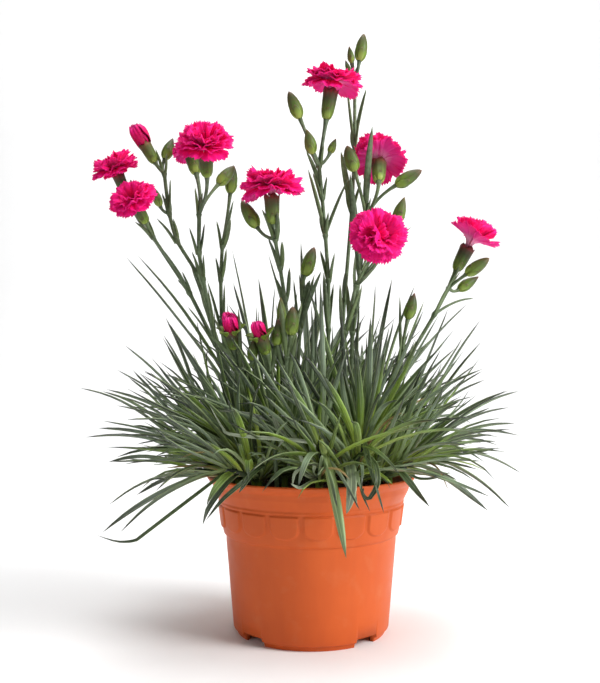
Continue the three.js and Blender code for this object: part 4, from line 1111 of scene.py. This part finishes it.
# The number of petals in each layer, their lift in degrees, and their reach, half width and
# ruffle as shares of the flower's own reach.
LAYERS = [
    (5, -8, 1.0, 0.54, 0.06), (6, 9, 0.98, 0.52, 0.065), (6, 26, 0.9, 0.48, 0.08),
    (6, 43, 0.74, 0.42, 0.09), (6, 59, 0.52, 0.35, 0.1), (6, 74, 0.3, 0.27, 0.09),
]
bm = bmesh.new()
bmesh.ops.create_grid(bm, x_segments=PETAL_ACROSS, y_segments=PETAL_ALONG, size=1)
flat_petal = mesh_from(bm, "flat_petal")


def petal_path(lift, droop, reach, longest):
    """Distance out, rise and slope at steps along a petal that turns out of its calyx."""
    slopes = []
    for k in range(PETAL_STEPS + 1):
        s = k / PETAL_STEPS
        slopes.append(math.radians(lift + (88 - lift) * (1 - smoothstep(s / 0.42)) - droop * s * s))
    out = sum(math.cos(slope) for slope in slopes[:-1]) / PETAL_STEPS
    length = min((reach - CLAW_OUT) / max(out, 0.05), longest)
    outs, rises = [CLAW_OUT], [0.0]
    for slope in slopes[:-1]:
        outs.append(outs[-1] + length * math.cos(slope) / PETAL_STEPS)
        rises.append(rises[-1] + length * math.sin(slope) / PETAL_STEPS)
    return np.linspace(0, 1, PETAL_STEPS + 1), outs, rises, slopes


def add_petal(bm, throat, axis, turn, path, half_width, ruffle, marks, draw):
    """One ruffled fan with a toothed edge, on a narrow claw."""
    side, square = frames_along([throat, throat + axis])[0][2:]
    radial = swung(side, square, turn)
    level = np.cross(axis, radial)
    stops, outs, rises, slopes = path
    phase, second = 6.3 * draw(), 6.3 * draw()
    teeth = [0.9 + 0.03 * draw() if k % 2 else 1 - 0.04 * draw() for k in range(PETAL_ACROSS + 1)]

    def place(co):
        u, v = co.x, (co.y + 1) / 2
        s = v * (1 - (0.1 * u ** 2 + 0.2 * u ** 6) * v)
        if v > 0.99:
            s *= teeth[round((u + 1) * PETAL_ACROSS / 2)]
        out, rise, slope = (float(np.interp(s, stops, table)) for table in (outs, rises, slopes))
        wide = half_width * (0.1 + 0.9 * smoothstep((s - 0.12) / 0.72))
        wave = ruffle * smoothstep((s - 0.25) / 0.75) * (
            0.85 * math.sin(3.4 * u + phase) + 0.6 * math.sin(8.2 * u + second)
            + 0.35 * math.sin(15 * u - phase))
        high = rise - CLAW_DEEP + wave * math.cos(slope)
        bent = radial * (out - wave * math.sin(slope)) + axis * high
        return throat + bent - level * (u * wide), v, u
    add_shape(bm, flat_petal, place, marks)


def add_rolled_petal(bm, throat, axis, turn, girth, height, shade, draw):
    """One petal of an opening flower, rolled round the others into a barrel."""
    side, square = frames_along([throat, throat + axis])[0][2:]
    teeth = [0.86 + 0.05 * draw() if k % 2 else 1 for k in range(PETAL_ACROSS + 1)]
    phase = 6.3 * draw()
    tall = height * (0.82 + 0.24 * draw())

    def place(co):
        u, v = co.x, (co.y + 1) / 2
        s = v * (1 - 0.1 * u * u)
        if v > 0.99:
            s *= teeth[round((u + 1) * PETAL_ACROSS / 2)]
        swell = math.sin(math.pi * min(0.2 + 0.66 * s, 1))
        out = ROLL_OUT + (girth - ROLL_OUT) * swell + 0.7 * u
        out *= 1 - 0.25 * smoothstep((s - 0.7) / 0.3)
        out += girth * s * s * (0.12 * math.sin(6 * u + phase) + 0.1 * math.sin(13 * u - phase))
        angle = turn - u * (0.35 + 0.6 * smoothstep(s / 0.5))
        return throat + swung(side, square, angle) * out + axis * (tall * s - CLAW_DEEP), v, u
    add_shape(bm, flat_petal, place, (0, shade))


def petal_finish(name, dark, middle, bright, edge):
    """Silky petal colour, deep at the claw and brighter towards the edge, with fine streaks."""
    silk = Finish(
        name, Specular_IOR_Level=0.1, Subsurface_Weight=0.25, Subsurface_Radius=(1.0, 0.12, 0.3),
        Subsurface_Scale=0.0015)
    along, across, hue, shade = marks_read(silk)
    fan = silk.node("CombineXYZ", {
        "X": silk.sum_of("MULTIPLY", across, 14.0), "Y": silk.sum_of("MULTIPLY", along, 1.6),
        "Z": silk.sum_of("MULTIPLY", shade, 30.0),
    }).outputs[0]
    streaks = silk.speckle(fan, 1.0)
    colour = silk.ramp(along, (0.18, dark), (0.5, middle), (0.78, bright), (1.0, edge))
    colour = silk.coat(colour, silk.ramp(streaks, (0.4, 0), (0.7, 0.6)), middle)
    colour = silk.coat(colour, silk.ramp(shade, (0.0, 0), (1.0, 0.4)), bright)
    colour = silk.coat(colour, silk.ramp(hue, (0.0, 0), (1.0, 0.3)), (228, 14, 90))
    silk.feed(colour, silk.ramp(streaks, (0.3, 0.5), (0.7, 0.66)), streaks, 0.4, 0.0003)
    return silk


def add_open_flower(bm, bloom, axis, reach, draw):
    """Every layer of an open flower, from the widest to the innermost. A flower with eyes has its
    inner layers round two centres."""
    throat, hue, cup = bloom["throat"], draw(), bloom.get("cup", 0)
    ruffle, cupped = reach * bloom.get("ruffle", 1), max(cup, 0)
    for petals, steep, share, wide, ruffled in LAYERS[:-1] if "open" in bloom else LAYERS:
        start = 2 * math.pi * draw()
        centres = [throat]
        if "eyes" in bloom and share < EYES_WITHIN:
            apart = unit(np.cross(axis, UP)) * bloom["eyes"]
            centres = [throat + apart, throat - apart]
        for k in range(petals * len(centres)):
            lift = min(steep + cupped, STEEPEST) + min(cup, 0) + 20 * (draw() - 0.5)
            droop = (20 + 16 * draw()) * (1 - cupped / 60)
            longest = reach * (1.1 - 0.01 * cupped * (1 - share))
            path = petal_path(lift, droop, reach * share * (0.87 + 0.18 * draw()), longest)
            turn = start + (k + 0.3 * (draw() - 0.5)) * 2 * math.pi / petals
            add_petal(
                bm, centres[k % len(centres)], axis, turn, path, reach * wide, ruffle * ruffled,
                (hue, draw()), draw)


petal_face = petal_finish(
    "petal_face", (104, 0, 32), (232, 16, 92), (254, 32, 150), (254, 38, 142))
petal_back = petal_finish(
    "petal_back", (252, 206, 226), (252, 84, 172), (254, 44, 156), (254, 40, 144))
rolled_petal = petal_finish(
    "rolled_petal", (160, 20, 60), (186, 10, 78), (228, 24, 118), (250, 70, 160))
for index, bloom in enumerate(bloom for stem in FLOWER_STEMS for bloom in stem["blooms"]):
    draw = random_draws(BLOOM_SEED + index)
    bm = plant_mesh()
    axis = unit(point(bloom.get("looks", bloom["faces"])))
    reach = bloom["reach"] * bloom.get("spread", 1)
    number = f"{index + 1:02d}"
    if "barrel" in bloom:
        for k in range(ROLLED_PETALS):
            girth, height = reach * (0.62 - 0.03 * k), bloom["barrel"] * (1.04 - 0.01 * k)
            add_rolled_petal(bm, bloom["throat"], axis, 2.4 * k, girth, height, draw(), draw)
        name, kind, silks = f"opening_flower_{number}", "opening_petal", [rolled_petal]
    else:
        add_open_flower(bm, bloom, axis, reach, draw)
        name, kind, silks = f"flower_{number}", "petal", [petal_face, petal_back]
    flower = finished_piece(name, bm, silks, kind, f"bloom_{number}")
    wall = flower.modifiers.new("petal_thickness", "SOLIDIFY")
    wall.thickness = PETAL_THICK * MM
    wall.offset = -1
    wall.material_offset = len(silks) - 1
    wall.use_even_offset = False

# ---- Studio -------------------------------------------------------------------------------------
# A plain pale sheet that runs from the floor up behind the plant, under soft studio light from
# the right, with the camera level with the leaves. Sizes here are in metres.
SHEET_HALF, SHEET_FRONT, SHEET_BACK, SHEET_TOP, SHEET_ROUND = 3, -3, 2.2, 3.5, 1.0
bm, corners = line_through(
    [(-SHEET_HALF, y, z) for y, z in ((SHEET_FRONT, 0), (SHEET_BACK, 0), (SHEET_BACK, SHEET_TOP))])
bmesh.ops.bevel(
    bm, geom=corners[1:2], offset=SHEET_ROUND, offset_type="OFFSET", segments=24, profile=0.5,
    affect="VERTICES", material=-1,
)
grown = bmesh.ops.extrude_edge_only(bm, edges=bm.edges[:])["geom"]
verts = [part for part in grown if isinstance(part, bmesh.types.BMVert)]
bmesh.ops.translate(bm, verts=verts, vec=(2 * SHEET_HALF, 0, 0))
bmesh.ops.recalc_face_normals(bm, faces=bm.faces)
if next(iter(bm.faces)).normal.z < 0:
    bmesh.ops.reverse_faces(bm, faces=bm.faces)
paper = Finish("pale_paper", Specular_IOR_Level=0.1)
paper_cloud = paper.speckle(paper.place(), 3)
paper.feed(
    paper.ramp(paper_cloud, (0.2, (246, 246, 246)), (0.8, (250, 250, 250))),
    paper.ramp(paper_cloud, (0.2, 0.9), (0.8, 0.95)))
studio_sheet = smooth_object("studio_sheet", bm, [paper])

world = bpy.data.worlds.new("studio")
world.use_nodes = True
background = world.node_tree.nodes["Background"].inputs
background["Color"].default_value = (1, 1, 1, 1)
background["Strength"].default_value = 0.15
bpy.context.scene.world = world


def soft_lamp(name, place, aim, size, power):
    lamp = bpy.data.lights.new(name, "AREA")
    lamp.shape = "DISK"
    lamp.size = size
    lamp.energy = power
    holder = put_in_scene(name, lamp)
    holder.location = place
    holder.rotation_euler = (Vector(aim) - Vector(place)).to_track_quat("-Z", "Y").to_euler()


soft_lamp("key_lamp", (1.1, -0.5, 0.75), (0, 0, 0.15), 0.7, 20.5)
soft_lamp("top_lamp", (0.1, -0.2, 1.4), (0, 0, 0.1), 0.7, 8)
soft_lamp("fill_lamp", (-0.9, -0.9, 0.5), (0, 0, 0.15), 0.9, 2.2)
soft_lamp("sheet_lamp", (0, 0.7, 1.9), (0, 2.2, 0.5), 1.2, 32)

lens = bpy.data.cameras.new("camera")
lens.lens = 47.1
lens.sensor_width = 36
lens.shift_y = 0.0268
camera = put_in_scene("camera", lens)
camera.location = (-0.0069, -0.56, 0.168)
camera.rotation_euler = (math.radians(90), 0, 0)
bpy.context.scene.camera = camera
bpy.context.scene.view_settings.view_transform = "Standard"
